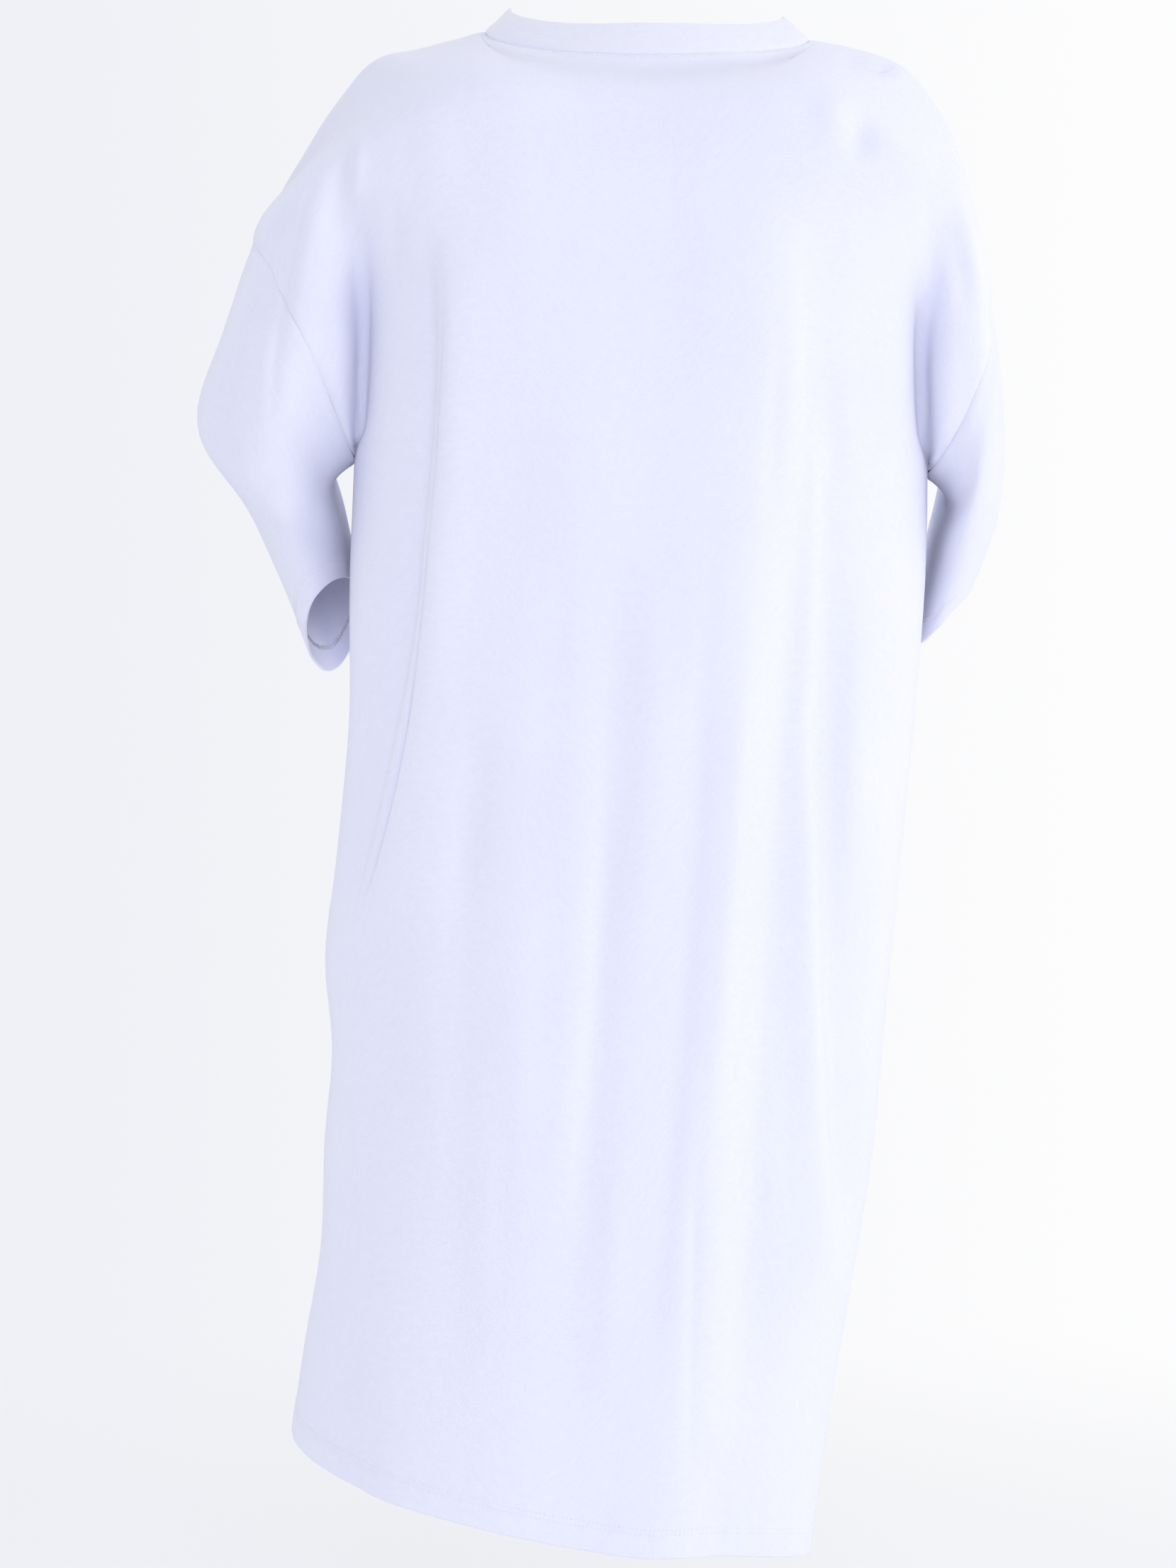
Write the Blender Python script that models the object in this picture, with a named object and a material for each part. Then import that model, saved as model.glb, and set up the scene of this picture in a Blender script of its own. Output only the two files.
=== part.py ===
# T-shirt dress, worn: back and front panels, two dropped sleeves and a neckband.
# Metres, +Z up. The back faces +Y, the wearer's left is +X. The origin is the middle of the
# neck opening at the height of the shoulder seams' inner ends.
import math

import bpy
import numpy as np

for old in list(bpy.data.objects):
    bpy.data.objects.remove(old, do_unlink=True)

# Sizes
WALL = 0.0016            # one layer of cloth as a solid wall
HEM_WALL = 0.0024        # a turned-up hem, two layers
BAND_WALL = 0.0024       # the doubled neckband
HEM_DEPTH = 0.020        # turned-up depth at the hem and the sleeve ends
SEAM_GAP = 0.0003        # clear space between pieces at a seam
CORNER_GAP = 0.0018      # added to it at the lowest point of the armhole
BAND_HEIGHT = 0.025      # neckband, seam to folded edge
ROUNDNESS = 2.3          # of the body's plan, 2 is an ellipse
SLOT = 0.010             # between body and arm, at the bottom of the dip

# Divisions
NECK_COLUMNS = {"back": 7, "front": 8}   # half the neck edge
SHOULDER_COLUMNS = 13                    # neck corner to armhole
ARM_COLUMNS = 6                          # of those, the ones that lie over the arm
UPPER_STEPS = 2                          # rows between two sections above the underarm
EDGE_ROW = 0.012                         # first row off the top edge
EDGE_MARK = 0.25                         # its place between the top edge and the first section
BODY_ROW = 0.036                         # row height below the underarm
SLEEVE_STEPS = 3                         # rows between two sleeve sections

# How much of a section's length comes before the arm's columns, from the underarm down
ARM_START = [0.93, 0.86, 0.78, 0.70, 0.65]

# Body below the underarm: a row per section, as plan extents and depths
BODY_COLUMNS = ("z", "left_x", "right_x", "back_y", "front_y", "left_y", "right_y", "left_rise", "right_rise")
BODY_SECTIONS = [
    (-0.318, 0.2075, -0.2065, 0.137, -0.150, 0.000, 0.000, 0.000, 0.000),
    (-0.400, 0.2110, -0.2035, 0.141, -0.155, 0.004, 0.006, 0.000, 0.000),
    (-0.490, 0.2110, -0.1965, 0.144, -0.160, 0.004, 0.010, 0.000, 0.000),
    (-0.580, 0.2190, -0.1870, 0.149, -0.164, 0.002, 0.016, 0.000, 0.000),
    (-0.665, 0.2290, -0.1780, 0.154, -0.167, 0.000, 0.024, 0.000, 0.000),
    (-0.735, 0.2240, -0.1710, 0.157, -0.168, -0.006, 0.032, 0.004, 0.000),
    (-0.810, 0.2300, -0.1630, 0.158, -0.168, -0.014, 0.040, 0.012, 0.000),
    (-0.900, 0.2330, -0.1465, 0.158, -0.167, -0.024, 0.048, 0.026, -0.002),
    (-0.982, 0.2450, -0.1315, 0.158, -0.166, -0.036, 0.056, 0.040, -0.006),
    (-1.067, 0.2560, -0.1175, 0.158, -0.166, -0.050, 0.064, 0.054, -0.014),
]

# Shoulder seams from the neck corner out to the top of the armhole
SHOULDER_SEAMS = {
    "left": [(0.1133, 0.000, 0.0046), (0.1590, 0.000, -0.0080), (0.1905, 0.000, -0.0150),
             (0.2190, -0.001, -0.0453), (0.2490, -0.003, -0.0910), (0.2815, -0.005, -0.1480)],
    "right": [(-0.1210, 0.000, -0.0015), (-0.1555, 0.000, -0.0085), (-0.1900, -0.002, -0.0215),
              (-0.2145, -0.004, -0.0500), (-0.2355, -0.008, -0.1000), (-0.2520, -0.012, -0.1830)],
}

# Armhole seams by their four outermost points
ARMHOLES = {
    "left": {"top": (0.2815, -0.005, -0.148), "back": (0.2420, 0.078, -0.222),
             "under": (0.2075, 0.000, -0.306), "front": (0.2450, -0.085, -0.218)},
    "right": {"top": (-0.2520, -0.012, -0.183), "back": (-0.2350, 0.068, -0.262),
              "under": (-0.2065, 0.000, -0.316), "front": (-0.2320, -0.086, -0.258)},
}

# Neck edge, middle of each panel
NECK_MIDDLE = {"back": (-0.006, 0.070, -0.026), "front": (-0.004, -0.088, -0.088)}

# Panels above the underarm, a row per section from the shoulder down. angle is the place of
# its end on the armhole; valley is how far the cloth sinks between body and arm, 0 to 1.
UPPER_COLUMNS = ("angle", "middle_z", "shoulder_z", "middle_y", "valley", "valley_x", "valley_y", "arm_y")
UPPER_SECTIONS = {
    "back": [
        (16, -0.052, -0.040, 0.088, 0.00, 0.200, 0.060, 0.040),
        (38, -0.098, -0.086, 0.108, 0.12, 0.200, 0.056, 0.062),
        (64, -0.150, -0.143, 0.121, 0.60, 0.194, 0.046, 0.076),
        (92, -0.204, -0.200, 0.129, 1.00, 0.194, 0.040, 0.080),
        (122, -0.252, -0.250, 0.134, 1.00, 0.195, 0.036, 0.072),
        (152, -0.286, -0.286, 0.136, 1.00, 0.198, 0.028, 0.038),
    ],
    "front": [
        (16, -0.110, -0.052, -0.094, 0.00, 0.190, -0.060, -0.050),
        (38, -0.138, -0.100, -0.106, 0.12, 0.190, -0.056, -0.070),
        (64, -0.174, -0.153, -0.120, 0.60, 0.190, -0.052, -0.084),
        (92, -0.214, -0.205, -0.132, 1.00, 0.189, -0.042, -0.088),
        (122, -0.254, -0.251, -0.141, 1.00, 0.192, -0.036, -0.078),
        (152, -0.286, -0.286, -0.147, 1.00, 0.198, -0.032, -0.041),
    ],
}

# Sleeves below the armhole: a row per section, four points round each
SLEEVE_COLUMNS = ("outer", "back", "under", "front")
SLEEVE_SECTIONS = {
    "left": [
        ((0.3030, -0.006, -0.210), (0.262, 0.080, -0.262), (0.2250, -0.004, -0.324), (0.260, -0.090, -0.226)),
        ((0.3230, -0.016, -0.276), (0.272, 0.072, -0.324), (0.2190, -0.022, -0.348), (0.262, -0.116, -0.276)),
        ((0.2870, -0.048, -0.336), (0.257, 0.050, -0.364), (0.2130, -0.044, -0.372), (0.248, -0.134, -0.344)),
        ((0.2455, -0.060, -0.444), (0.234, 0.020, -0.404), (0.2080, -0.062, -0.396), (0.227, -0.146, -0.446)),
    ],
    "right": [
        ((-0.2600, -0.020, -0.235), (-0.243, 0.064, -0.296), (-0.2240, -0.006, -0.337), (-0.236, -0.104, -0.262)),
        ((-0.2655, -0.034, -0.290), (-0.241, 0.050, -0.340), (-0.2165, -0.024, -0.364), (-0.238, -0.132, -0.296)),
        ((-0.2615, -0.056, -0.342), (-0.236, 0.024, -0.378), (-0.2090, -0.044, -0.396), (-0.232, -0.152, -0.340)),
        ((-0.2450, -0.078, -0.392), (-0.228, -0.010, -0.414), (-0.2040, -0.060, -0.436), (-0.224, -0.160, -0.392)),
    ],
}

# Folds as long ridges (height above 0) and troughs (below 0). Each runs through three points
# given as across and up; plus_w and minus_w are its widths toward +X and -X, fade its ends.
FOLD_COLUMNS = ("face", "top", "middle", "low", "plus_w", "minus_w", "height", "fade")
FOLDS = [
    # the deep fold down the left of the back, from the blade to the kink in the side
    ("back", (0.1380, -0.150), (0.1510, -0.400), (0.2080, -0.660), 0.009, 0.040, 0.0090, 0.060),
    ("back", (0.1530, -0.150), (0.1660, -0.400), (0.2200, -0.660), 0.026, 0.009, -0.0050, 0.060),
    # the lower left
    ("back", (0.2060, -0.730), (0.1930, -0.901), (0.1760, -1.078), 0.012, 0.030, 0.0060, 0.070),
    # soft folds down the middle
    ("back", (0.0192, -0.346), (0.0227, -0.552), (0.0503, -0.900), 0.016, 0.016, -0.0030, 0.120),
    ("back", (-0.0460, -0.400), (-0.0248, -0.620), (0.0080, -1.000), 0.017, 0.017, -0.0035, 0.120),
    ("back", (0.1189, -0.483), (0.1258, -0.684), (0.1306, -1.000), 0.018, 0.018, -0.0030, 0.120),
    # the long ridge down the right of the back
    ("back", (-0.0900, -0.110), (-0.0600, -0.500), (-0.0150, -1.078), 0.026, 0.030, 0.0080, 0.080),
    ("back", (-0.1290, -0.200), (-0.1000, -0.500), (-0.0640, -1.000), 0.020, 0.018, -0.0050, 0.100),
    # the second ridge beside it and the hollow to its right
    ("back", (-0.1180, -0.250), (-0.1150, -0.600), (-0.1300, -0.930), 0.016, 0.010, 0.0050, 0.080),
    ("back", (-0.1290, -0.380), (-0.1330, -0.660), (-0.1430, -0.890), 0.008, 0.020, -0.0070, 0.080),
    # over the arms
    ("back", (0.2201, -0.069), (0.2509, -0.190), (0.2643, -0.330), 0.010, 0.022, 0.0050, 0.050),
    ("back", (0.2402, -0.112), (0.2590, -0.160), (0.2800, -0.230), 0.009, 0.009, -0.0030, 0.040),
    ("back", (-0.2188, -0.082), (-0.2280, -0.150), (-0.2400, -0.280), 0.008, 0.012, 0.0040, 0.040),
    # the front hangs in plain soft folds of the same kind
    ("front", (0.1350, -0.170), (0.1500, -0.450), (0.1800, -0.900), 0.022, 0.024, 0.0080, 0.100),
    ("front", (0.0750, -0.260), (0.0820, -0.550), (0.0980, -1.000), 0.022, 0.022, -0.0050, 0.120),
    ("front", (0.0100, -0.300), (0.0180, -0.600), (0.0400, -1.078), 0.026, 0.026, 0.0040, 0.120),
    ("front", (-0.0550, -0.260), (-0.0420, -0.600), (-0.0200, -1.078), 0.022, 0.024, -0.0050, 0.120),
    ("front", (-0.1280, -0.170), (-0.1100, -0.500), (-0.0820, -1.000), 0.024, 0.022, 0.0080, 0.100),
]


def vec(values):
    return np.array(values, dtype=float)


def spline(knots, values, at):
    """Smooth curve through values at knots, worked out at the places in at."""
    knots, values, at = vec(knots), vec(values), vec(at)
    slopes = np.empty_like(values)
    steps = np.diff(knots).reshape((-1,) + (1,) * (values.ndim - 1))
    rises = np.diff(values, axis=0) / steps
    slopes[0], slopes[-1] = rises[0], rises[-1]
    slopes[1:-1] = (rises[:-1] * steps[1:] + rises[1:] * steps[:-1]) / (steps[1:] + steps[:-1])
    spot = np.clip(np.searchsorted(knots, at, side="right") - 1, 0, len(knots) - 2)
    span = (knots[spot + 1] - knots[spot])
    shape = (-1,) + (1,) * (values.ndim - 1)
    t = ((at - knots[spot]) / span).reshape(shape)
    span = span.reshape(shape)
    return ((2 * t ** 3 - 3 * t ** 2 + 1) * values[spot] + (t ** 3 - 2 * t ** 2 + t) * span * slopes[spot]
            + (3 * t ** 2 - 2 * t ** 3) * values[spot + 1] + (t ** 3 - t ** 2) * span * slopes[spot + 1])


def spaced(points, count):
    """The same line with count + 1 points evenly along it."""
    points = vec(points)
    run = np.concatenate([[0.0], np.cumsum(np.linalg.norm(np.diff(points, axis=0), axis=1))])
    marks = np.linspace(0.0, run[-1], count + 1)
    return np.stack([np.interp(marks, run, points[:, axis]) for axis in range(points.shape[1])], 1)


def split_spaced(points, first, second, share):
    """The same line with its first columns over a share of its length, the rest over the remainder."""
    points = vec(points)
    run = np.concatenate([[0.0], np.cumsum(np.linalg.norm(np.diff(points, axis=0), axis=1))])
    marks = np.concatenate([np.linspace(0.0, share, first + 1), np.linspace(share, 1.0, second + 1)[1:]])
    return np.stack([np.interp(marks * run[-1], run, points[:, axis]) for axis in range(points.shape[1])], 1)


def through(points, count):
    """A smooth line through a few points, count + 1 points evenly along it."""
    points = vec(points)
    run = np.concatenate([[0.0], np.cumsum(np.linalg.norm(np.diff(points, axis=0), axis=1))])
    return spaced(spline(run, points, np.linspace(0.0, run[-1], 120)), count)


def around(four, angles):
    """Points on a closed ring through four points a quarter turn apart."""
    first, second, third, fourth = (vec(p) for p in four)
    a = np.radians(angles)[:, None]
    return ((first + second + third + fourth) / 4 + (first - third) / 2 * np.cos(a)
            + (second - fourth) / 2 * np.sin(a)
            + (first - second + third - fourth) / 4 * np.cos(2 * a))


def armhole(side, face, angles):
    hole = ARMHOLES[side]
    sign = 1.0 if face == "back" else -1.0
    return around([hole["top"], hole["back"], hole["under"], hole["front"]], sign * vec(angles))


def quarter(middle, side, count=60):
    """A quarter of the body's plan, from its middle to its side."""
    a = np.linspace(0.0, math.pi / 2, count)
    across = np.sin(a) ** (2 / ROUNDNESS)
    deep = np.cos(a).clip(0.0) ** (2 / ROUNDNESS)
    return np.stack([middle[0] + (side[0] - middle[0]) * across, side[1] + (middle[1] - side[1]) * deep], 1)


def bezier(a, b, c, d, count=40):
    t = np.linspace(0.0, 1.0, count)[:, None]
    return (1 - t) ** 3 * a + 3 * t * (1 - t) ** 2 * b + 3 * t ** 2 * (1 - t) * c + t ** 3 * d


def half_columns(face):
    return NECK_COLUMNS[face] + SHOULDER_COLUMNS


def top_edge(side, face):
    """Neck edge from the panel's middle to the neck corner, then the shoulder seam."""
    corner = vec(SHOULDER_SEAMS[side][0])
    middle = vec(NECK_MIDDLE[face])
    a = np.linspace(0.0, math.pi / 2, 40)
    power = 1.0 if face == "back" else 1.25
    neck = np.stack([middle[0] + (corner[0] - middle[0]) * np.sin(a),
                     corner[1] + (middle[1] - corner[1]) * np.cos(a).clip(0.0),
                     corner[2] + (middle[2] - corner[2]) * np.cos(a).clip(0.0) ** power], 1)
    neck = spaced(neck, NECK_COLUMNS[face])
    return np.concatenate([neck, through(SHOULDER_SEAMS[side], SHOULDER_COLUMNS)[1:]])


def upper_section(side, face, row):
    """One section above the underarm, from the panel's middle to the armhole."""
    r = dict(zip(UPPER_COLUMNS, row))
    sign = 1.0 if side == "left" else -1.0
    edge = armhole(side, face, [r["angle"]])[0]
    middle = vec((0.0, r["middle_y"]))
    count = half_columns(face)
    first = count - ARM_COLUMNS
    dip = vec((sign * r["valley_x"], r["valley_y"]))
    over = dip + vec((sign * min(SLOT, 0.7 * abs(edge[0] - dip[0])), 0.0))
    lift = vec((sign * 0.002, (r["arm_y"] - r["valley_y"]) * 1.05))
    reach = vec(((over[0] - edge[0]) * 0.45, (r["arm_y"] - edge[1]) * 0.6))
    arm = np.concatenate([dip[None], bezier(over, over + lift, edge[:2] + reach, edge[:2])])
    torso = quarter(middle, dip)
    lengths = [np.linalg.norm(np.diff(line, axis=0), axis=1).sum() for line in (torso, arm)]
    share = lengths[0] / sum(lengths)
    sunk = split_spaced(np.concatenate([torso, arm[1:]]), first, ARM_COLUMNS, share)
    plain = split_spaced(quarter(middle, edge[:2]), first, ARM_COLUMNS, share)
    plan = plain + (sunk - plain) * r["valley"]
    u = np.linspace(0.0, 1.0, count + 1)
    drop = ((u - 0.4) / 0.6).clip(0.0) ** 1.7
    up = (u / 0.42).clip(0.0, 1.0)
    level = r["middle_z"] + (r["shoulder_z"] - r["middle_z"]) * up ** 2 * (3 - 2 * up)
    return np.column_stack([plan, level + (edge[2] - level) * drop])


def beside_top(side, face, edge):
    """A line just off the top edge, square to it."""
    sign = 1.0 if face == "back" else -1.0
    first = NECK_COLUMNS[face]
    away = np.zeros_like(edge)
    line = np.gradient(edge[:first + 1, :2], axis=0)
    away[:first + 1, 0] = line[:, 1]
    away[:first + 1, 1] = -line[:, 0]
    away[:first + 1] *= np.sign((away[:first + 1, :2] * edge[:first + 1, :2]).sum(1))[:, None]
    away[:first + 1] /= np.linalg.norm(away[:first + 1], axis=1)[:, None]
    away[0] = (0.0, sign, 0.0)
    out = np.linspace(0.0, 1.0, first + 1) ** 1.5
    away[:first + 1] *= (0.5 + 0.5 * out)[:, None]
    away[:first + 1, 2] = -0.85 + 0.73 * out
    away[first] = (away[first] + vec((0.0, sign, 0.0))) * 0.8
    away[first, 2] = -0.42
    away[first + 1:] = (0.0, sign, -0.25)
    return edge + away * EDGE_ROW


def body_section(side, face, row, place):
    """One section below the underarm, from the panel's middle to its side seam."""
    r = dict(zip(BODY_COLUMNS, row))
    middle = vec(((r["left_x"] + r["right_x"]) / 2 * min(1.0, (-0.318 - r["z"]) / 0.3), r[face + "_y"]))
    end = vec((r[side + "_x"], r[side + "_y"]))
    count = half_columns(face)
    start = ARM_START[min(place, len(ARM_START) - 1)]
    plan = split_spaced(quarter(middle, end), count - ARM_COLUMNS, ARM_COLUMNS, start)
    across = (plan[:, 0] / r[side + "_x"]).clip(0.0)
    rise = r["left_rise"] * (plan[:, 0] / r["left_x"]).clip(0.0) ** 1.3
    if side == "right":
        rise = rise + r["right_rise"] * across ** 2
    if place == 0:
        rise = (ARMHOLES[side]["under"][2] - r["z"]) * across ** 2
    return np.column_stack([plan, r["z"] + rise])


def levels(face):
    """Places of the rows, as numbers along the sections; whole numbers are sections."""
    upper = len(UPPER_SECTIONS[face]) + 1
    marks = [0.0, EDGE_MARK] + list(np.arange(1, upper * UPPER_STEPS) / UPPER_STEPS)
    marks[2] = 0.6
    for k in range(len(BODY_SECTIONS) - 1):
        height = BODY_SECTIONS[k][0] - BODY_SECTIONS[k + 1][0]
        steps = max(2, round(height / BODY_ROW))
        marks += [upper + k + i / steps for i in range(steps)]
    last = upper + len(BODY_SECTIONS) - 1
    height = BODY_SECTIONS[-2][0] - BODY_SECTIONS[-1][0]
    fold = last - HEM_DEPTH / height
    marks = [m for m in marks if m < fold - 0.12]
    return vec(marks + [fold - 0.006 * 1.2, fold, last - 0.5 * (last - fold), last])


def half_panel(side, face):
    """Rows by columns of points for half a panel, middle to edge, top to hem."""
    rows = [top_edge(side, face)]
    rows += [upper_section(side, face, row) for row in UPPER_SECTIONS[face]]
    rows += [body_section(side, face, row, place) for place, row in enumerate(BODY_SECTIONS)]
    near = beside_top(side, face, rows[0])
    before = 2 * rows[0] - near
    before[NECK_COLUMNS[face] + 1:, 2] = near[NECK_COLUMNS[face] + 1:, 2]
    marks = levels(face)
    knots = [-EDGE_MARK, 0, EDGE_MARK] + list(range(1, len(rows)))
    grid = spline(knots, np.stack([before, rows[0], near] + rows[1:]), marks)
    angles = [0.0] + [row[0] for row in UPPER_SECTIONS[face]] + [180.0]
    above = marks <= len(angles) - 1
    grid[above, -1] = armhole(side, face, spline(np.arange(len(angles)), angles, marks[above]))
    return grid


def panels():
    """Both panels' grids, sharing their points along the side and shoulder seams."""
    halves = {(s, f): half_panel(s, f) for s in ("left", "right") for f in ("back", "front")}
    below = levels("back") > len(UPPER_SECTIONS["back"]) + 1
    for side in ("left", "right"):
        seam = (halves[side, "back"][:, -1] + halves[side, "front"][:, -1]) / 2
        for face in ("back", "front"):
            halves[side, face][below, -1] = seam[below]
    for face in ("back", "front"):
        middle = (halves["left", face][:, 0] + halves["right", face][:, 0]) / 2
        for side in ("left", "right"):
            halves[side, face][:, 0] = middle
    return {face: np.concatenate([halves["left", face][:, :0:-1], halves["right", face]], 1)
            for face in ("back", "front")}


def sleeve(side, grids):
    """Rings of points from the armhole to the sleeve's end."""
    count = (len(UPPER_SECTIONS["back"]) + 1) * UPPER_STEPS + 1
    column = 0 if side == "left" else -1
    back = grids["back"][:count + 1, column]
    front = grids["front"][:count + 1, column]
    first = np.concatenate([back, front[-2:0:-1]])
    inner = 1 if side == "left" else -2
    within = np.concatenate([grids["back"][:count + 1, inner], grids["front"][:count + 1, inner][-2:0:-1]])
    marks = levels("back")[:count + 1]
    faces = []
    for face in ("back", "front"):
        angles = [0.0] + [row[0] for row in UPPER_SECTIONS[face]] + [180.0]
        faces.append(spline(np.arange(len(angles)), angles, marks))
    turn = np.concatenate([faces[0], 360.0 - faces[1][-2:0:-1]])
    rows = [first] + [around(section, turn) for section in SLEEVE_SECTIONS[side]]
    last = len(rows) - 1
    height = np.linalg.norm(rows[-1] - rows[-2], axis=1).mean()
    fold = last - HEM_DEPTH / height
    places = [m for m in np.arange(last * SLEEVE_STEPS) / SLEEVE_STEPS if m < fold - 0.15]
    places += [fold - 0.04, fold, last - 0.5 * (last - fold), last]
    reach = np.linalg.norm(rows[1] - rows[0], axis=1) / np.linalg.norm(first - within, axis=1)
    smooth = ((np.abs(turn - 180.0) - 35.0) / 50.0).clip(0.0, 1.0)[:, None]
    before = 2 * first - rows[1] + ((first - within) * -reach[:, None] - (first - rows[1])) * smooth
    return spline(np.arange(-1, len(rows)), np.stack([before] + rows), places)


def neckband(grids):
    """Rings from the neck seam up to the band's folded edge."""
    nb, nf = NECK_COLUMNS["back"], NECK_COLUMNS["front"]
    mb, mf = half_columns("back"), half_columns("front")
    back = grids["back"][0, mb - nb:mb + nb + 1]
    front = grids["front"][0, mf - nf:mf + nf + 1]
    seam = np.concatenate([back, front[-2:0:-1]])
    middle = seam.mean(axis=0)
    out = seam - middle
    out[:, 2] = 0.0
    out /= np.linalg.norm(out, axis=1)[:, None]
    behind = (0.5 + 0.5 * out[:, 1])[:, None]
    beside = np.abs(out[:, :1]) ** 2
    lean = -out * (0.35 + 0.30 * (1 - behind) + 0.30 * beside) + vec((0, 0, 1)) * (0.90 - 0.15 * beside)
    lean /= np.linalg.norm(lean, axis=1)[:, None]
    rise = vec([0.0, 0.36, 0.72, 1.0])
    bow = np.sin(rise * math.pi) * 0.0012
    return np.stack([seam + lean * BAND_HEIGHT * r + out * b for r, b in zip(rise, bow)])


def path_at(fold, z):
    """Across position of a fold's line at height z, and how far inside its ends."""
    top, middle, low = (vec(fold[k]) for k in ("top", "middle", "low"))
    t = (top[1] - z) / (top[1] - low[1])
    m = (top[1] - middle[1]) / (top[1] - low[1])
    bend = (middle[0] - (top[0] + (low[0] - top[0]) * m)) / (m * (1 - m))
    across = top[0] + (low[0] - top[0]) * t + bend * t * (1 - t)
    return across, np.minimum(top[1] - z, z - low[1])


def fold_height(points, normals):
    """How far each point moves out along its normal for all folds."""
    total = np.zeros(points.shape[:-1])
    for row in FOLDS:
        fold = dict(zip(FOLD_COLUMNS, row))
        across, inside = path_at(fold, points[..., 2])
        off = points[..., 0] - across
        width = np.where(off > 0, fold["plus_w"], fold["minus_w"])
        ends = np.clip(inside / fold["fade"] + (1.0 if fold["low"][1] <= -1.07 else 0.0)
                       * (points[..., 2] < -0.95), 0.0, 1.0)
        facing = (normals[..., 1] * (1.0 if fold["face"] == "back" else -1.0)).clip(0.0, 1.0)
        total += fold["height"] * np.exp(-(off / width) ** 2) * ends ** 2 * (3 - 2 * ends) * facing ** 0.7
    return total


def grid_normals(grids, closed):
    """Shared unit normals for all the grids, so that neighbours agree along a seam."""
    sums = {}
    keys = {}
    for name, grid in grids.items():
        g = np.concatenate([grid, grid[:, :1]], 1) if closed[name] else grid
        flat = np.round(g * 1e5).astype(int)
        keys[name] = flat
        cross = np.cross(g[1:, 1:] - g[:-1, :-1], g[1:, :-1] - g[:-1, 1:])
        for i in range(cross.shape[0]):
            for j in range(cross.shape[1]):
                for a, b in ((i, j), (i + 1, j), (i, j + 1), (i + 1, j + 1)):
                    key = tuple(flat[a, b])
                    sums[key] = sums.get(key, 0.0) + cross[i, j]
    normals = {}
    for name, grid in grids.items():
        n = np.zeros(grid.shape)
        for i in range(grid.shape[0]):
            for j in range(grid.shape[1]):
                total = sums[tuple(keys[name][i, j])]
                n[i, j] = total / np.linalg.norm(total)
        normals[name] = n
    return normals


def seam_gap(edge):
    """Half the clear space at a seam, a little more where three pieces meet under the arm."""
    far = np.min([np.linalg.norm(edge - vec(hole["under"]), axis=1) for hole in ARMHOLES.values()], axis=0)
    return (SEAM_GAP / 2 + CORNER_GAP * np.exp(-(far / 0.016) ** 2))[:, None]


def inset(grid, closed):
    """Move the outer rows and columns in by half the seam gap, square to the seam."""
    out = grid.copy()

    def move(edge, inner):
        line = np.gradient(edge, axis=0)
        line /= np.linalg.norm(line, axis=1)[:, None]
        step = inner - edge
        step -= line * (step * line).sum(1)[:, None]
        return step / np.linalg.norm(step, axis=1)[:, None] * seam_gap(edge)

    out[0] += move(grid[0], grid[1])
    out[-1] += move(grid[-1], grid[-2])
    if not closed:
        out[:, 0] += move(grid[:, 0], grid[:, 1])
        out[:, -1] += move(grid[:, -1], grid[:, -2])
    return out


def material(name, colour, roughness):
    mat = bpy.data.materials.new(name)
    mat.use_nodes = True
    shader = mat.node_tree.nodes["Principled BSDF"]
    shader.inputs["Base Color"].default_value = (*colour, 1.0)
    shader.inputs["Roughness"].default_value = roughness
    return mat


def solid(name, grid, normals, closed, outward, inward, mat):
    """A wall on a grid: outer face, inner face and the rims between them."""
    base = inset(grid, closed)
    rows, cols = grid.shape[:2]
    outer = base + normals * outward[:, None, None]
    inner = base - normals * inward[:, None, None]
    points = np.concatenate([outer.reshape(-1, 3), inner.reshape(-1, 3)])
    half = rows * cols
    faces = []

    def quad(a, b, c, d):
        faces.append((a, b, c))
        faces.append((a, c, d))

    for i in range(rows - 1):
        for j in range(cols if closed else cols - 1):
            k = (j + 1) % cols
            a, b, c, d = i * cols + j, i * cols + k, (i + 1) * cols + k, (i + 1) * cols + j
            quad(a, b, c, d)
            faces.append((half + a, half + d, half + c))
            faces.append((half + a, half + c, half + b))
    for j in range(cols if closed else cols - 1):
        k = (j + 1) % cols
        quad(k, j, half + j, half + k)
        e, f = (rows - 1) * cols + j, (rows - 1) * cols + k
        quad(e, f, half + f, half + e)
    if not closed:
        for i in range(rows - 1):
            a, b = i * cols, (i + 1) * cols
            quad(a, b, half + b, half + a)
            c, d = a + cols - 1, b + cols - 1
            quad(d, c, half + c, half + d)
    mesh = bpy.data.meshes.new(name)
    mesh.from_pydata([tuple(p) for p in points], [], faces)
    mesh.validate()
    mesh.update()
    thing = bpy.data.objects.new(name, mesh)
    bpy.context.scene.collection.objects.link(thing)
    mesh.materials.append(mat)
    for face in mesh.polygons:
        face.use_smooth = True
    return thing


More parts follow.
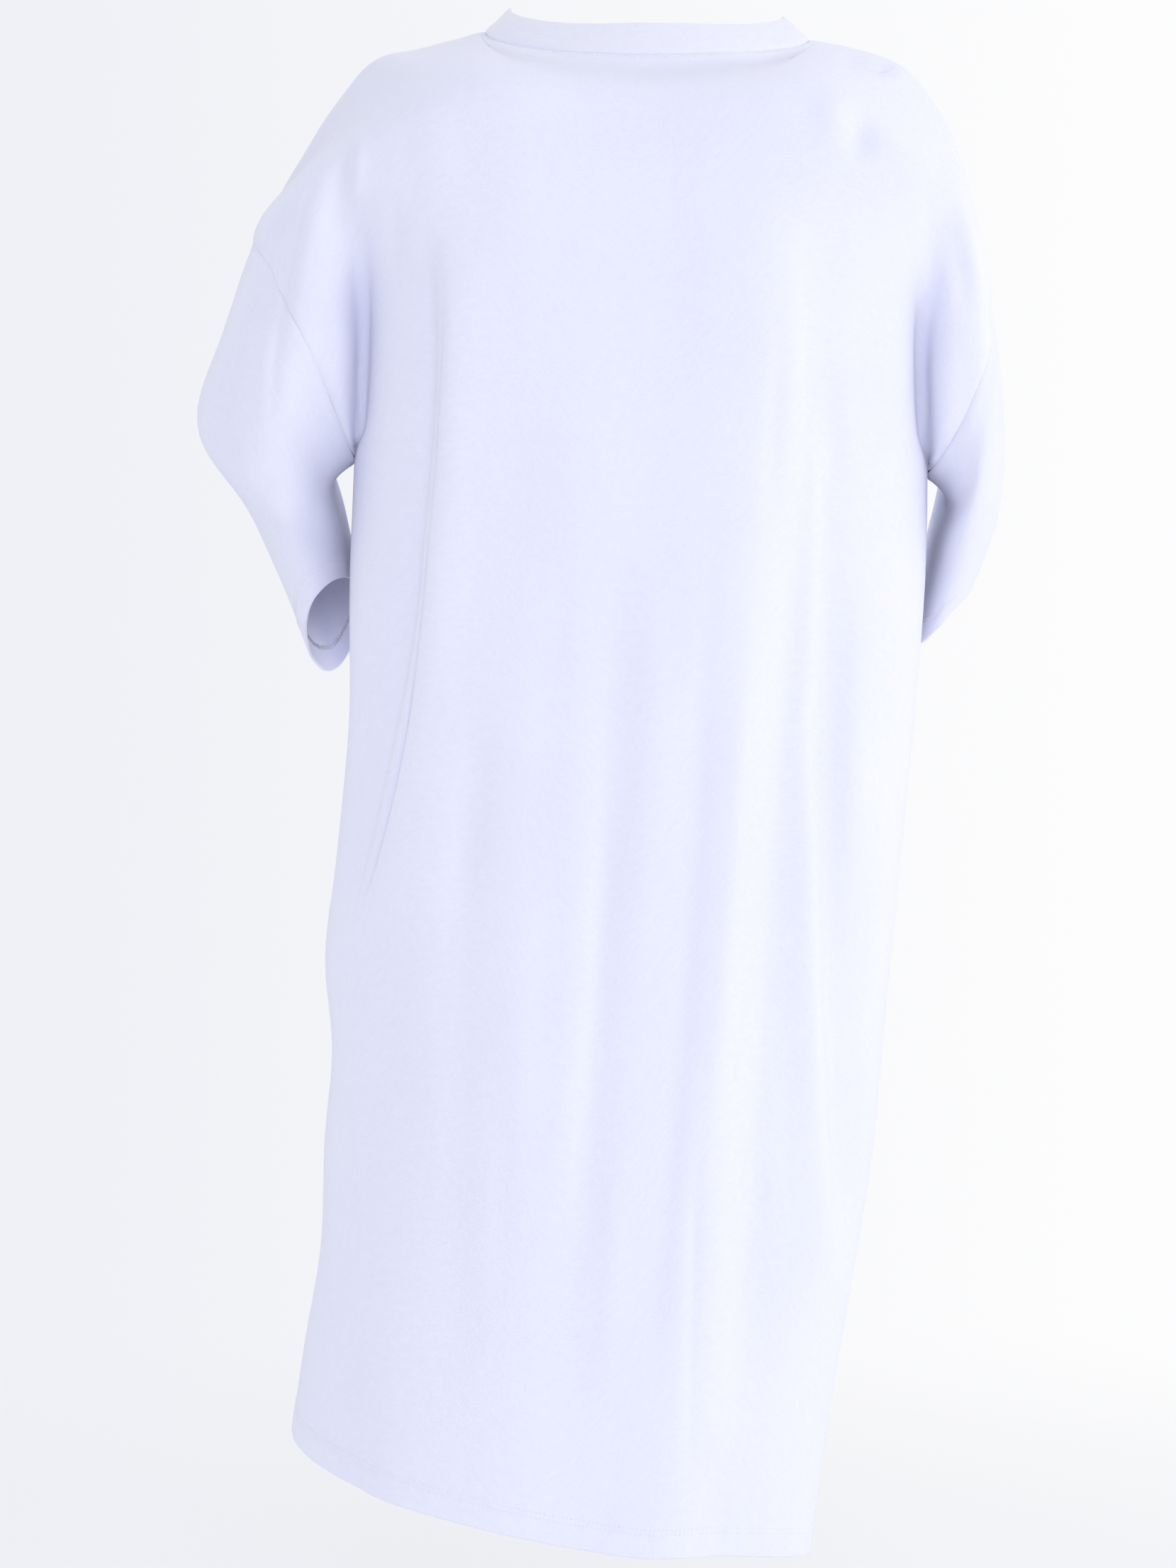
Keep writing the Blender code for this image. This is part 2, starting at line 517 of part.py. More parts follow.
def build():
    grids = panels()
    grids["sleeve_left"] = sleeve("left", grids)
    grids["sleeve_right"] = sleeve("right", grids)
    grids["neckband"] = neckband(grids)
    closed = {name: name not in ("back", "front") for name in grids}
    # every grid is turned so that its rows and columns give an outward normal
    grids["front"] = grids["front"][:, ::-1]
    grids["sleeve_right"] = grids["sleeve_right"][:, ::-1]
    grids["neckband"] = grids["neckband"][::-1]
    for name, grid in grids.items():
        normals = grid_normals({name: grid}, closed)[name]
        centre = grid.mean(axis=1, keepdims=True) if closed[name] else vec((0.0, 0.0, 0.0))
        side = (normals * (grid - centre) * vec((1.0, 1.0, 0.2 if closed[name] else 0.0))).sum()
        if side < 0:
            grids[name] = grid[:, ::-1]
    normals = grid_normals(grids, closed)
    for name in grids:
        if name != "neckband":
            grids[name] = grids[name] + normals[name] * fold_height(grids[name], normals[name])[..., None]
    normals = grid_normals(grids, closed)
    jersey = material("white_jersey", (0.86, 0.87, 0.93), 0.85)
    band = material("white_jersey_band", (0.87, 0.88, 0.93), 0.82)
    for name, grid in grids.items():
        rows = grid.shape[0]
        outward = np.full(rows, WALL / 2)
        inward = np.full(rows, WALL / 2)
        if name == "neckband":
            outward[1:-1] = inward[1:-1] = BAND_WALL / 2
        else:
            inward[-3:] = HEM_WALL - WALL / 2
        solid(name, grid, normals[name], closed[name], outward, inward, band if name == "neckband" else jersey)


build()
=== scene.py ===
import math

import bpy
import numpy as np
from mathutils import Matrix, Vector, noise


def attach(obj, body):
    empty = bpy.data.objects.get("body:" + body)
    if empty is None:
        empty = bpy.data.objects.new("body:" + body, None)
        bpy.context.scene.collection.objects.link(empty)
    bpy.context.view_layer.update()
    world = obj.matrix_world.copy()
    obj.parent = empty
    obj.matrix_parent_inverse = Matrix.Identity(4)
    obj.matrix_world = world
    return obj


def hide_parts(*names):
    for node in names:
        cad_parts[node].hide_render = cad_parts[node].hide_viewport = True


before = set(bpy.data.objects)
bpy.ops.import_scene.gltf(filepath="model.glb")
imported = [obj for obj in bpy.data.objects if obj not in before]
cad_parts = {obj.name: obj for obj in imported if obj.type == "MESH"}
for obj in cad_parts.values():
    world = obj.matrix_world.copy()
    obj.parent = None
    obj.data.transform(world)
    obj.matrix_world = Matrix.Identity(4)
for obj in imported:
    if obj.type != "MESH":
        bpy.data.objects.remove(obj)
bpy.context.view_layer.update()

# T-shirt dress in white jersey, in its worn form: back and front panels, two dropped sleeves and
# a doubled neckband, with twin-needle hems. Metres, +Z up, the back faces +Y and the left sleeve
# is at +X. The cloth is laid out by the cut's own sections, then folded and sewn.

# Cloth and sewing sizes
CLOTH = 0.0009           # one layer of jersey
BAND_CLOTH = 0.0020      # the doubled neckband
SEAM_GAP = 0.0001        # between two panels at a seam
CORNER_GAP = 0.0016      # added to it where three pieces meet at the underarm
HEM_TURN = 0.020         # cloth turned up inside a hem
HEM_LAYER = 0.0013       # from the hem's outer layer to the turned-up one
STITCH_ROWS = (0.0155, 0.0190)   # twin-needle rows, up from the hem's edge
STITCH_PITCH = 0.0030    # one stitch to the next
STITCH_LENGTH = 0.0023   # thread that shows in one stitch
THREAD = 0.00032         # half the width of the sewing thread
BAND_HEIGHT = 0.025      # neckband, seam to folded edge
BAND_STITCH = 0.0032     # row below the neckband's seam
BAND_BOW = 0.0012        # how far its middle bulges
BAND_IN = 0.35           # how far it leans in at the back
BAND_IN_MORE = 0.30      # and how much more at the front, and at the sides
BAND_UP = 0.90           # how far it stands up
BAND_UP_LESS = 0.15      # and how much less at the sides
SEAM_DIP = 0.0004        # how far cloth sinks into a seam
SEAM_DIP_WIDTH = 0.0016
ALLOWANCE = 0.0065       # overlocked seam allowance, felt as a low step beside a seam
ALLOWANCE_RISE = 0.00035
SEAM_PUCKER = 0.00045    # waves where a seam draws the cloth up
PUCKER_REACH = 0.006
PUCKER_LENGTH = 0.0085
STITCH_SINK = 0.00030    # how far a row of hem stitches sinks
HEM_STEP = 0.00035       # how far the turned-up cloth lifts the hem
STITCH_SINK_WIDTH = 0.0011
HEM_STEP_WIDTH = 0.0020
HEM_WAVES = 0.00060      # height of a hem's waves
HEM_WAVES_REACH = 0.0100 # and how far they spread up and down from the stitches

# Plan of the body and the slot between it and each sleeve
SIGN = {"back": 1.0, "front": -1.0, "left": 1.0, "right": -1.0}   # which way each face and side lies
ROUNDNESS = 2.3          # 2 is an ellipse, more is squarer
NECK_POWER = {"back": 1.0, "front": 1.25}   # how far each neck edge hangs into a U
SLOT = 0.010             # width of the slot's floor
SLOT_SHARE = 0.7         # and the most of the way to the armhole that it takes
WALL_LEAN = 0.002        # the slot's outer wall leans out
WALL_PULL = 1.05         # and rises by this part of its height before it turns over
ARM_PULL = (0.45, 0.60)  # how full the cloth is where it meets the armhole, across and deep
DROP_START = 0.40        # part of a section's columns where it starts to fall to the armhole
DROP_POWER = 1.7
LEVEL_REACH = 0.42       # part of the columns over which it falls from middle to shoulder
MIDDLE_SHIFT = 0.30      # length below the underarm over which a panel's middle moves across
LEFT_RISE_POWER = 1.3    # how late the hem rises to the left side

# Divisions of the cloth
NECK_COLUMNS = {"back": 42, "front": 48}
SHOULDER_COLUMNS = 82
ARM_COLUMNS = 30         # the last of them, out to the armhole
UPPER_STEPS = 8          # rows to a section above the underarm
BODY_ROW = 0.0085        # height of a row below it
SLEEVE_STEPS = 14        # rows to a section of a sleeve
EDGE_ROW = 0.012         # how far the line beside the top edge lies from it
EDGE_MARK = 0.25         # and its place between the edge and the first section
TOP_OUT = (0.5, 1.0)     # which way that line lies from the neck edge, at its middle and corner
TOP_DOWN = (-0.85, -0.12)
SHOULDER_DOWN = -0.25    # and how far it drops from the shoulder seam
SLEEVE_TURN = (35.0, 50.0)   # degrees from the underarm over which a sleeve comes to run on smoothly
NEAR_EDGE = (0.03, 0.07, 0.14)            # rows close to a seam, as parts of a section
NEAR_SEAM = (0.16, 0.34, 0.62)            # columns close to a seam, as parts of a column
HEM_ROWS = (0.0, 0.0012, 0.003, 0.0055, 0.0085, 0.0115, 0.0140, 0.0155,
            0.0172, 0.0190, 0.0206, 0.0230, 0.0270)

MM = 0.001
HEM_FOLD = -1.070        # a fold that ends below this runs on over the hem
HEM_FOLD_REACH = 0.12    # from this far above it
CREASE_STEPS = 28        # parts of a crease's line
CREASE_ROUND = 0.2       # how blunt the sharpest crease is, as a part of its width

# Unevenness of the cloth: the size of its broad and close waves and their heights
CRUMPLE_BROAD = (0.034, 0.040, 0.110)
CRUMPLE_CLOSE = (0.011, 0.014, 0.026)
CRUMPLE_HEIGHTS = (0.00060, 0.00013)
CRUMPLE_SEED = 4.0

EDGE_ANGLES = (40.0, 90.0, 140.0)        # rows round a lower edge's rounding
EDGE_BULGE = 0.8                         # how round it is
STITCH_RINGS = (-0.5, -0.38, -0.16, 0.16, 0.38, 0.5)   # along a stitch, as parts of its length
STITCH_SLANT = 0.00008   # how far one stitch leans
STITCH_SHIFT = 0.00004   # and sits higher or lower than its neighbours
STITCH_DIVE = 1.6        # how far its ends go down into the cloth, in threads
STITCH_TAPER = 0.35      # and how much thinner they are pulled
THREAD_FLAT = 0.72       # the thread's height to its width
THREAD_ROUND = 0.001     # once round the thread, on its cloth places
THREAD_SIDES = 6
LOOPER_SIDES = 4
LOOPER_THREAD = THREAD * 0.7
LOOPER_INSET = 0.004
LOOPER_PAST = 0.08       # how far it swings past the needle rows

# Easing of small kinks, and how near to a seam it stops
EASE_TIMES = 14
EASE_REACH = 0.016

# How much of a section's length comes before those last columns, from the underarm down
ARM_START = (0.93, 0.86, 0.78, 0.70, 0.65)

# Body below the underarm
BODY_COLUMNS = ("z", "left_x", "right_x", "back_y", "front_y", "left_y", "right_y",
                "left_rise", "right_rise")
BODY_SECTIONS = [
    (-0.318, 0.2075, -0.2065, 0.137, -0.150, 0.000, 0.000, 0.000, 0.000),
    (-0.400, 0.2110, -0.2035, 0.141, -0.155, 0.004, 0.006, 0.000, 0.000),
    (-0.490, 0.2110, -0.1965, 0.144, -0.160, 0.004, 0.010, 0.000, 0.000),
    (-0.580, 0.2190, -0.1870, 0.149, -0.164, 0.002, 0.016, 0.000, 0.000),
    (-0.665, 0.2290, -0.1780, 0.154, -0.167, 0.000, 0.024, 0.000, 0.000),
    (-0.735, 0.2240, -0.1710, 0.157, -0.168, -0.006, 0.032, 0.004, 0.000),
    (-0.810, 0.2300, -0.1630, 0.158, -0.168, -0.014, 0.040, 0.012, 0.000),
    (-0.900, 0.2330, -0.1465, 0.158, -0.167, -0.024, 0.048, 0.026, -0.002),
    (-0.982, 0.2450, -0.1315, 0.158, -0.166, -0.036, 0.056, 0.040, -0.006),
    (-1.067, 0.2560, -0.1175, 0.158, -0.166, -0.050, 0.064, 0.054, -0.014),
]

# Shoulder seams from the neck corner out to the top of the armhole
SHOULDER_SEAMS = {
    "left": [(0.1133, 0.000, 0.0046), (0.1590, 0.000, -0.0080), (0.1905, 0.000, -0.0150),
             (0.2190, -0.001, -0.0453), (0.2490, -0.003, -0.0910), (0.2815, -0.005, -0.1480)],
    "right": [(-0.1210, 0.000, -0.0015), (-0.1555, 0.000, -0.0085), (-0.1900, -0.002, -0.0215),
              (-0.2145, -0.004, -0.0500), (-0.2355, -0.008, -0.1000), (-0.2520, -0.012, -0.1830)],
}

# Armhole seams by their four outermost points
ARMHOLES = {
    "left": {"top": (0.2815, -0.005, -0.148), "back": (0.2420, 0.078, -0.222),
             "under": (0.2075, 0.000, -0.306), "front": (0.2450, -0.085, -0.218)},
    "right": {"top": (-0.2520, -0.012, -0.183), "back": (-0.2350, 0.068, -0.262),
              "under": (-0.2065, 0.000, -0.316), "front": (-0.2320, -0.086, -0.258)},
}

# Neck edge, middle of each panel
NECK_MIDDLE = {"back": (-0.006, 0.070, -0.026), "front": (-0.004, -0.088, -0.088)}

# Panels above the underarm. angle is the place of a section's end on the armhole; valley is
# how far the cloth sinks between body and sleeve, 0 to 1.
UPPER_COLUMNS = ("angle", "middle_z", "shoulder_z", "middle_y", "valley", "valley_x", "valley_y", "arm_y")
UPPER_SECTIONS = {
    "back": [
        (16, -0.052, -0.040, 0.088, 0.00, 0.200, 0.060, 0.040),
        (38, -0.098, -0.086, 0.108, 0.12, 0.200, 0.056, 0.062),
        (64, -0.150, -0.143, 0.121, 0.60, 0.194, 0.046, 0.076),
        (92, -0.204, -0.200, 0.129, 1.00, 0.194, 0.040, 0.080),
        (122, -0.252, -0.250, 0.134, 1.00, 0.195, 0.036, 0.072),
        (152, -0.286, -0.286, 0.136, 1.00, 0.198, 0.028, 0.038),
    ],
    "front": [
        (16, -0.110, -0.052, -0.094, 0.00, 0.190, -0.060, -0.050),
        (38, -0.138, -0.100, -0.106, 0.12, 0.190, -0.056, -0.070),
        (64, -0.174, -0.153, -0.120, 0.60, 0.190, -0.052, -0.084),
        (92, -0.214, -0.205, -0.132, 1.00, 0.189, -0.042, -0.088),
        (122, -0.254, -0.251, -0.141, 1.00, 0.192, -0.036, -0.078),
        (152, -0.286, -0.286, -0.147, 1.00, 0.198, -0.032, -0.041),
    ],
}

# Sleeves below the armhole: a row per section, by its outer, back, under and front points
SLEEVE_SECTIONS = {
    "left": [
        ((0.3030, -0.006, -0.210), (0.262, 0.080, -0.262),
         (0.2250, -0.004, -0.324), (0.260, -0.090, -0.226)),
        ((0.3230, -0.016, -0.276), (0.272, 0.072, -0.324),
         (0.2190, -0.022, -0.348), (0.262, -0.116, -0.276)),
        ((0.2870, -0.048, -0.336), (0.257, 0.050, -0.364),
         (0.2130, -0.044, -0.372), (0.248, -0.134, -0.344)),
        ((0.2455, -0.060, -0.444), (0.234, 0.020, -0.404),
         (0.2080, -0.062, -0.396), (0.227, -0.146, -0.446)),
    ],
    "right": [
        ((-0.2600, -0.020, -0.235), (-0.243, 0.064, -0.296),
         (-0.2240, -0.006, -0.337), (-0.236, -0.104, -0.262)),
        ((-0.2655, -0.034, -0.290), (-0.241, 0.050, -0.340),
         (-0.2165, -0.024, -0.364), (-0.238, -0.132, -0.296)),
        ((-0.2615, -0.056, -0.342), (-0.236, 0.024, -0.378),
         (-0.2090, -0.044, -0.396), (-0.232, -0.152, -0.340)),
        ((-0.2450, -0.078, -0.392), (-0.228, -0.010, -0.414),
         (-0.2040, -0.060, -0.436), (-0.224, -0.160, -0.392)),
    ],
}

# The dress's largest folds, in millimetres. Each runs through three points given as across and
# up; plus_w and minus_w are its widths toward +X and -X, fade its ends.
FOLD_COLUMNS = ("top", "middle", "low", "plus_w", "minus_w", "height", "fade")
FOLDS = {
    "back": [
        # the deep fold down the left of the back
        ((138, -150), (151, -400), (208, -660), 9, 40, 9, 60),
        ((153, -150), (166, -400), (220, -660), 26, 9, -5, 60),
        # the lower left
        ((206, -730), (193, -901), (176, -1078), 12, 30, 6, 70),
        # soft folds down the middle
        ((19.2, -346), (22.7, -552), (50.3, -900), 16, 16, -3, 120),
        ((-46, -400), (-24.8, -620), (8, -1000), 17, 17, -2.2, 120),
        ((118.9, -483), (125.8, -684), (130.6, -1000), 18, 18, -3, 120),
        # the long ridge down the right of the back
        ((-90, -110), (-60, -500), (-15, -1078), 50, 26, 9.5, 80),
        ((-129, -200), (-100, -500), (-64, -1000), 16, 30, -8, 100),
        # the second ridge beside it and the hollow to its right
        ((-118, -250), (-115, -600), (-130, -930), 18, 9, 6.2, 80),
        ((-129, -380), (-133, -660), (-143, -890), 8, 20, -7, 80),
        # out toward the armholes
        ((220.1, -69), (250.9, -190), (264.3, -330), 10, 22, 5, 50),
        ((240.2, -112), (259, -160), (280, -230), 9, 9, -3, 40),
        ((-218.8, -82), (-228, -150), (-240, -280), 8, 12, 4, 40),
    ],
    "front": [
        ((135, -170), (150, -450), (180, -900), 22, 24, 8, 100),
        ((75, -260), (82, -550), (98, -1000), 22, 22, -5, 120),
        ((10, -300), (18, -600), (40, -1078), 26, 26, 4, 120),
        ((-55, -260), (-42, -600), (-20, -1078), 22, 24, -5, 120),
        ((-128, -170), (-110, -500), (-82, -1000), 24, 22, 8, 100),
    ],
}

# Finer folds and creases, in millimetres: each a line of a few points given as across and up.
# plus_w and minus_w are its widths toward +X and -X as it runs down, soft is 0 for a sharp
# crease to 1 for a round one, and fade is the part of its length over which each end dies away.
CREASE_COLUMNS = ("line", "plus_w", "minus_w", "height", "soft", "fade")
CREASES = {
    "back": [
        # the deep left fold's crease and the full strip beside it
        ([(142, -164), (152, -348), (178, -533), (213, -657)], 12, 4.2, -9.2, 0.15, 0.16),
        ([(156, -360), (174, -510), (196, -602), (216, -668)], 18, 5, -6.5, 0.3, 0.2),
        ([(179, -194), (186, -312), (194, -440), (203, -538)], 14, 12, 3.6, 1.0, 0.4),
        ([(176, -120), (174, -159), (172, -204)], 5, 6, -2.2, 0.6, 0.5),
        ([(132, -200), (139, -350), (158, -520)], 10, 14, 2.4, 0.9, 0.3),
        # lower left, where the side turns under
        ([(218, -704), (207, -820), (197, -957), (186, -1029)], 8, 5, -5.6, 0.2, 0.3),
        ([(228, -766), (219, -889), (215, -984)], 5, 6, 2.8, 0.5, 0.4),
        ([(211, -837), (203, -912), (196, -987)], 4, 5, 2.2, 0.5, 0.4),
        ([(186, -708), (191, -741), (196, -785)], 10, 10, -1.4, 1.0, 0.5),
        ([(214, -655), (196, -690), (176, -740)], 9, 9, 2.6, 0.6, 0.5),
        # the quiet middle
        ([(112, -468), (120, -576), (131, -652)], 11, 11, -1.8, 0.8, 0.4),
        ([(98, -700), (98, -814), (101, -922)], 9, 9, -1.5, 0.7, 0.4),
        ([(85, -563), (87, -684), (102, -877)], 10, 10, 1.2, 0.9, 0.4),
        ([(60, -330), (64, -470), (74, -640)], 12, 12, -1, 1.0, 0.5),
        ([(44, -490), (47, -678), (66, -920)], 11, 10, 1.5, 0.8, 0.4),
        ([(26, -420), (31, -640), (48, -880)], 6, 7, -1.2, 0.6, 0.4),
        ([(-9, -382), (-4, -544), (15, -705)], 12, 12, 1.8, 0.9, 0.4),
        ([(12, -760), (22, -860), (34, -985)], 8, 8, 1, 0.8, 0.4),
        ([(-47, -307), (-33, -597), (1, -1001)], 8, 8, -1.8, 0.5, 0.3),
        # the long bright ridge and what lies on its two sides
        ([(-95, -213), (-90, -295), (-83, -373)], 5, 6, -1.5, 0.5, 0.4),
        ([(-104, -130), (-101, -250), (-92, -380)], 8, 7, 2.2, 0.6, 0.4),
        ([(-72, -420), (-60, -600), (-44, -800)], 9, 7, 2.2, 0.5, 0.3),
        ([(-36, -780), (-32, -901), (-30, -1042)], 4, 6, -2.2, 0.3, 0.3),
        ([(-55, -800), (-50, -900), (-48, -1030)], 6, 8, 1.2, 0.6, 0.4),
        ([(-76, -791), (-78, -824), (-79, -859)], 6, 7, -1.4, 0.6, 0.5),
        ([(-92, -680), (-88, -780), (-82, -900)], 8, 8, 1.2, 0.8, 0.4),
        ([(-114, -435), (-122, -587), (-128, -734), (-136, -870)], 4, 14, -6.2, 0.25, 0.25),
        ([(-132, -877), (-139, -894), (-143, -916)], 5, 6, 3.6, 0.5, 0.5),
        ([(-130, -276), (-133, -313), (-136, -345)], 7, 8, -1.4, 0.7, 0.5),
        ([(-152, -380), (-147, -489), (-144, -653)], 8, 10, 2.4, 0.8, 0.4),
        ([(-160, -160), (-157, -260), (-160, -380)], 12, 12, -2.6, 0.8, 0.4),
        # yoke and shoulders
        ([(63, -51), (14, -58), (-46, -51)], 9, 10, 1, 1.0, 0.5),
        ([(-60, -36), (-92, -26), (-118, -17)], 6, 6, -2, 0.7, 0.5),
        ([(-126, -48), (-132, -72), (-134, -98)], 10, 11, 4.4, 0.9, 0.5),
        ([(-152, -66), (-152, -86), (-150, -110)], 8, 9, -5.8, 0.7, 0.5),
        ([(-143, -16), (-151, -26), (-157, -40)], 4, 5, -3.8, 0.4, 0.5),
        ([(-172, -18), (-174, -26), (-174, -38)], 3.5, 4, -5, 0.4, 0.5),
        ([(-180, -20), (-181, -29), (-182, -42)], 3.5, 3.5, 1.8, 0.5, 0.5),
        ([(166, -34), (154, -70), (140, -150)], 10, 14, 1.4, 1.0, 0.5),
        # left sleeve and the cloth beside its armhole
        ([(223, -88), (245, -160), (258, -238), (263, -318)], 7, 4.5, -4.2, 0.2, 0.3),
        ([(198, -72), (200, -103), (203, -136)], 5, 5, 3, 0.5, 0.5),
        ([(201, -75), (217, -145), (220, -190)], 6, 7, -2.4, 0.5, 0.4),
        ([(232, -150), (238, -220), (236, -300)], 10, 10, 2, 0.8, 0.4),
        ([(276, -190), (282, -240), (286, -285)], 8, 8, 1.2, 0.9, 0.5),
        ([(316, -276), (303, -290), (288, -292)], 5, 6, -3, 0.4, 0.5),
        ([(310, -298), (296, -307), (280, -303)], 5, 6, -2.8, 0.4, 0.5),
        ([(286, -336), (272, -334), (254, -322)], 6, 7, -3, 0.4, 0.5),
        ([(270, -360), (258, -354), (240, -346)], 6, 7, 2.4, 0.5, 0.5),
        ([(210, -284), (211, -300), (212, -318)], 6, 6, -2, 0.5, 0.5),
        # right sleeve and the cloth beside its armhole
        ([(-199, -104), (-204, -175), (-208, -256)], 5, 6, -2.6, 0.4, 0.4),
        ([(-220, -152), (-226, -185), (-232, -214)], 5, 5, -2.6, 0.4, 0.4),
        ([(-219, -82), (-239, -194), (-243, -265)], 5, 5, 2.8, 0.4, 0.4),
        ([(-228, -95), (-243, -171), (-249, -220)], 5, 5, -2.8, 0.4, 0.4),
        ([(-224, -311), (-214, -329), (-205, -344)], 5, 6, -3.6, 0.4, 0.5),
        ([(-226, -334), (-220, -359), (-213, -385)], 7, 7, 3.4, 0.6, 0.5),
        ([(-238, -250), (-232, -285), (-222, -310)], 6, 6, 3, 0.5, 0.5),
    ],
    "front": [
        # folds of the same kind, hung from the shoulder seams
        ([(150, -130), (158, -300), (176, -560)], 7, 8, -2.6, 0.4, 0.3),
        ([(118, -240), (124, -420), (140, -700)], 9, 9, 1.8, 0.8, 0.4),
        ([(46, -300), (50, -520), (66, -860)], 9, 10, -1.6, 0.7, 0.4),
        ([(30, -420), (40, -640), (58, -980)], 8, 8, 1.3, 0.8, 0.4),
        ([(-20, -240), (-14, -460), (4, -780)], 10, 10, -1.4, 0.8, 0.4),
        ([(-84, -220), (-80, -420), (-60, -700)], 9, 10, 2, 0.7, 0.4),
        ([(-104, -340), (-98, -560), (-78, -900)], 7, 8, -1.8, 0.5, 0.4),
        ([(-146, -130), (-144, -320), (-136, -560)], 8, 7, -2.4, 0.4, 0.3),
        ([(-120, -640), (-112, -800), (-100, -1020)], 8, 9, 1.8, 0.7, 0.4),
        ([(190, -620), (196, -780), (200, -1000)], 9, 9, -2, 0.6, 0.4),
        ([(120, -760), (130, -880), (150, -1040)], 8, 8, -1.4, 0.7, 0.4),
        ([(70, -118), (84, -160), (100, -220)], 8, 8, 1.4, 0.9, 0.5),
        ([(-74, -118), (-90, -162), (-104, -224)], 8, 8, 1.4, 0.9, 0.5),
        ([(160, -40), (150, -100), (140, -170)], 8, 9, -1.6, 0.8, 0.5),
        ([(-162, -44), (-152, -104), (-142, -176)], 8, 9, -1.6, 0.8, 0.5),
        # the sleeves and the cloth beside their armholes
        ([(226, -90), (240, -160), (250, -240)], 7, 8, -1.8, 0.5, 0.4),
        ([(252, -120), (262, -190), (266, -270)], 8, 8, 1.8, 0.7, 0.4),
        ([(206, -110), (214, -170), (224, -240)], 7, 7, 1.6, 0.7, 0.4),
        ([(296, -280), (276, -290), (256, -286)], 5, 6, -1.8, 0.5, 0.5),
        ([(-222, -110), (-230, -180), (-236, -250)], 6, 7, -1.6, 0.5, 0.4),
        ([(-204, -120), (-212, -190), (-222, -262)], 6, 6, 1.4, 0.7, 0.4),
        ([(-246, -270), (-236, -286), (-224, -296)], 5, 6, -1.6, 0.5, 0.5),
    ],
}


def vec(values):
    return np.array(values, dtype=float)


def smoothstep(t):
    t = np.clip(t, 0.0, 1.0)
    return t ** 2 * (3 - 2 * t)


def spline(knots, values, at):
    """Smooth curve through values at knots, worked out at the places in at."""
    knots, values, at = vec(knots), vec(values), vec(at)
    slopes = np.empty_like(values)
    steps = np.diff(knots).reshape((-1,) + (1,) * (values.ndim - 1))
    rises = np.diff(values, axis=0) / steps
    slopes[0], slopes[-1] = rises[0], rises[-1]
    slopes[1:-1] = (rises[:-1] * steps[1:] + rises[1:] * steps[:-1]) / (steps[1:] + steps[:-1])
    spot = np.clip(np.searchsorted(knots, at, side="right") - 1, 0, len(knots) - 2)
    span = (knots[spot + 1] - knots[spot])
    shape = (-1,) + (1,) * (values.ndim - 1)
    t = ((at - knots[spot]) / span).reshape(shape)
    span = span.reshape(shape)
    return ((2 * t ** 3 - 3 * t ** 2 + 1) * values[spot] + (t ** 3 - 2 * t ** 2 + t) * span * slopes[spot]
            + (3 * t ** 2 - 2 * t ** 3) * values[spot + 1] + (t ** 3 - t ** 2) * span * slopes[spot + 1])


def run_along(points):
    """Length along a line at each of its points."""
    return np.concatenate([[0.0], np.cumsum(np.linalg.norm(np.diff(points, axis=0), axis=1))])


def at_lengths(points, run, marks):
    """The points at some lengths along a line."""
    return np.stack([np.interp(marks, run, points[:, axis]) for axis in range(points.shape[1])], -1)


def spaced(points, count):
    """The same line with count + 1 points evenly along it."""
    points = vec(points)
    run = run_along(points)
    return at_lengths(points, run, np.linspace(0.0, run[-1], count + 1))


def split_spaced(points, first, second, share):
    """The same line with its first columns over a share of its length, the rest over the remainder."""
    points = vec(points)
    run = run_along(points)
    marks = np.concatenate([np.linspace(0.0, share, first + 1), np.linspace(share, 1.0, second + 1)[1:]])
    return at_lengths(points, run, marks * run[-1])


def through(points, count):
    """A smooth line through a few points, count + 1 points evenly along it."""
    points = vec(points)
    run = run_along(points)
    return spaced(spline(run, points, np.linspace(0.0, run[-1], 300)), count)


def around(four, angles):
    """Points on a closed ring through four points a quarter turn apart."""
    first, second, third, fourth = (vec(p) for p in four)
    a = np.radians(angles)[:, None]
    return ((first + second + third + fourth) / 4 + (first - third) / 2 * np.cos(a)
            + (second - fourth) / 2 * np.sin(a)
            + (first - second + third - fourth) / 4 * np.cos(2 * a))


def armhole(side, face, angles):
    """Points on an armhole seam by their angles from its top, 180 being the underarm."""
    hole = ARMHOLES[side]
    return around([hole[k] for k in ("top", "back", "under", "front")], SIGN[face] * vec(angles))


def quarter(middle, side, count=160):
    """A quarter of the body's plan, from its middle to its side."""
    a = np.linspace(0.0, math.pi / 2, count)
    across = np.sin(a) ** (2 / ROUNDNESS)
    deep = np.cos(a).clip(0.0) ** (2 / ROUNDNESS)
    return np.column_stack([middle[0] + (side[0] - middle[0]) * across,
                            side[1] + (middle[1] - side[1]) * deep])


def bezier(a, b, c, d, count=80):
    t = np.linspace(0.0, 1.0, count)[:, None]
    return (1 - t) ** 3 * a + 3 * t * (1 - t) ** 2 * b + 3 * t ** 2 * (1 - t) * c + t ** 3 * d


def half_columns(face):
    return NECK_COLUMNS[face] + SHOULDER_COLUMNS


def seam_angles(face):
    """Angles on the armhole of the top edge, the sections and the underarm."""
    return [0.0] + [row[0] for row in UPPER_SECTIONS[face]] + [180.0]


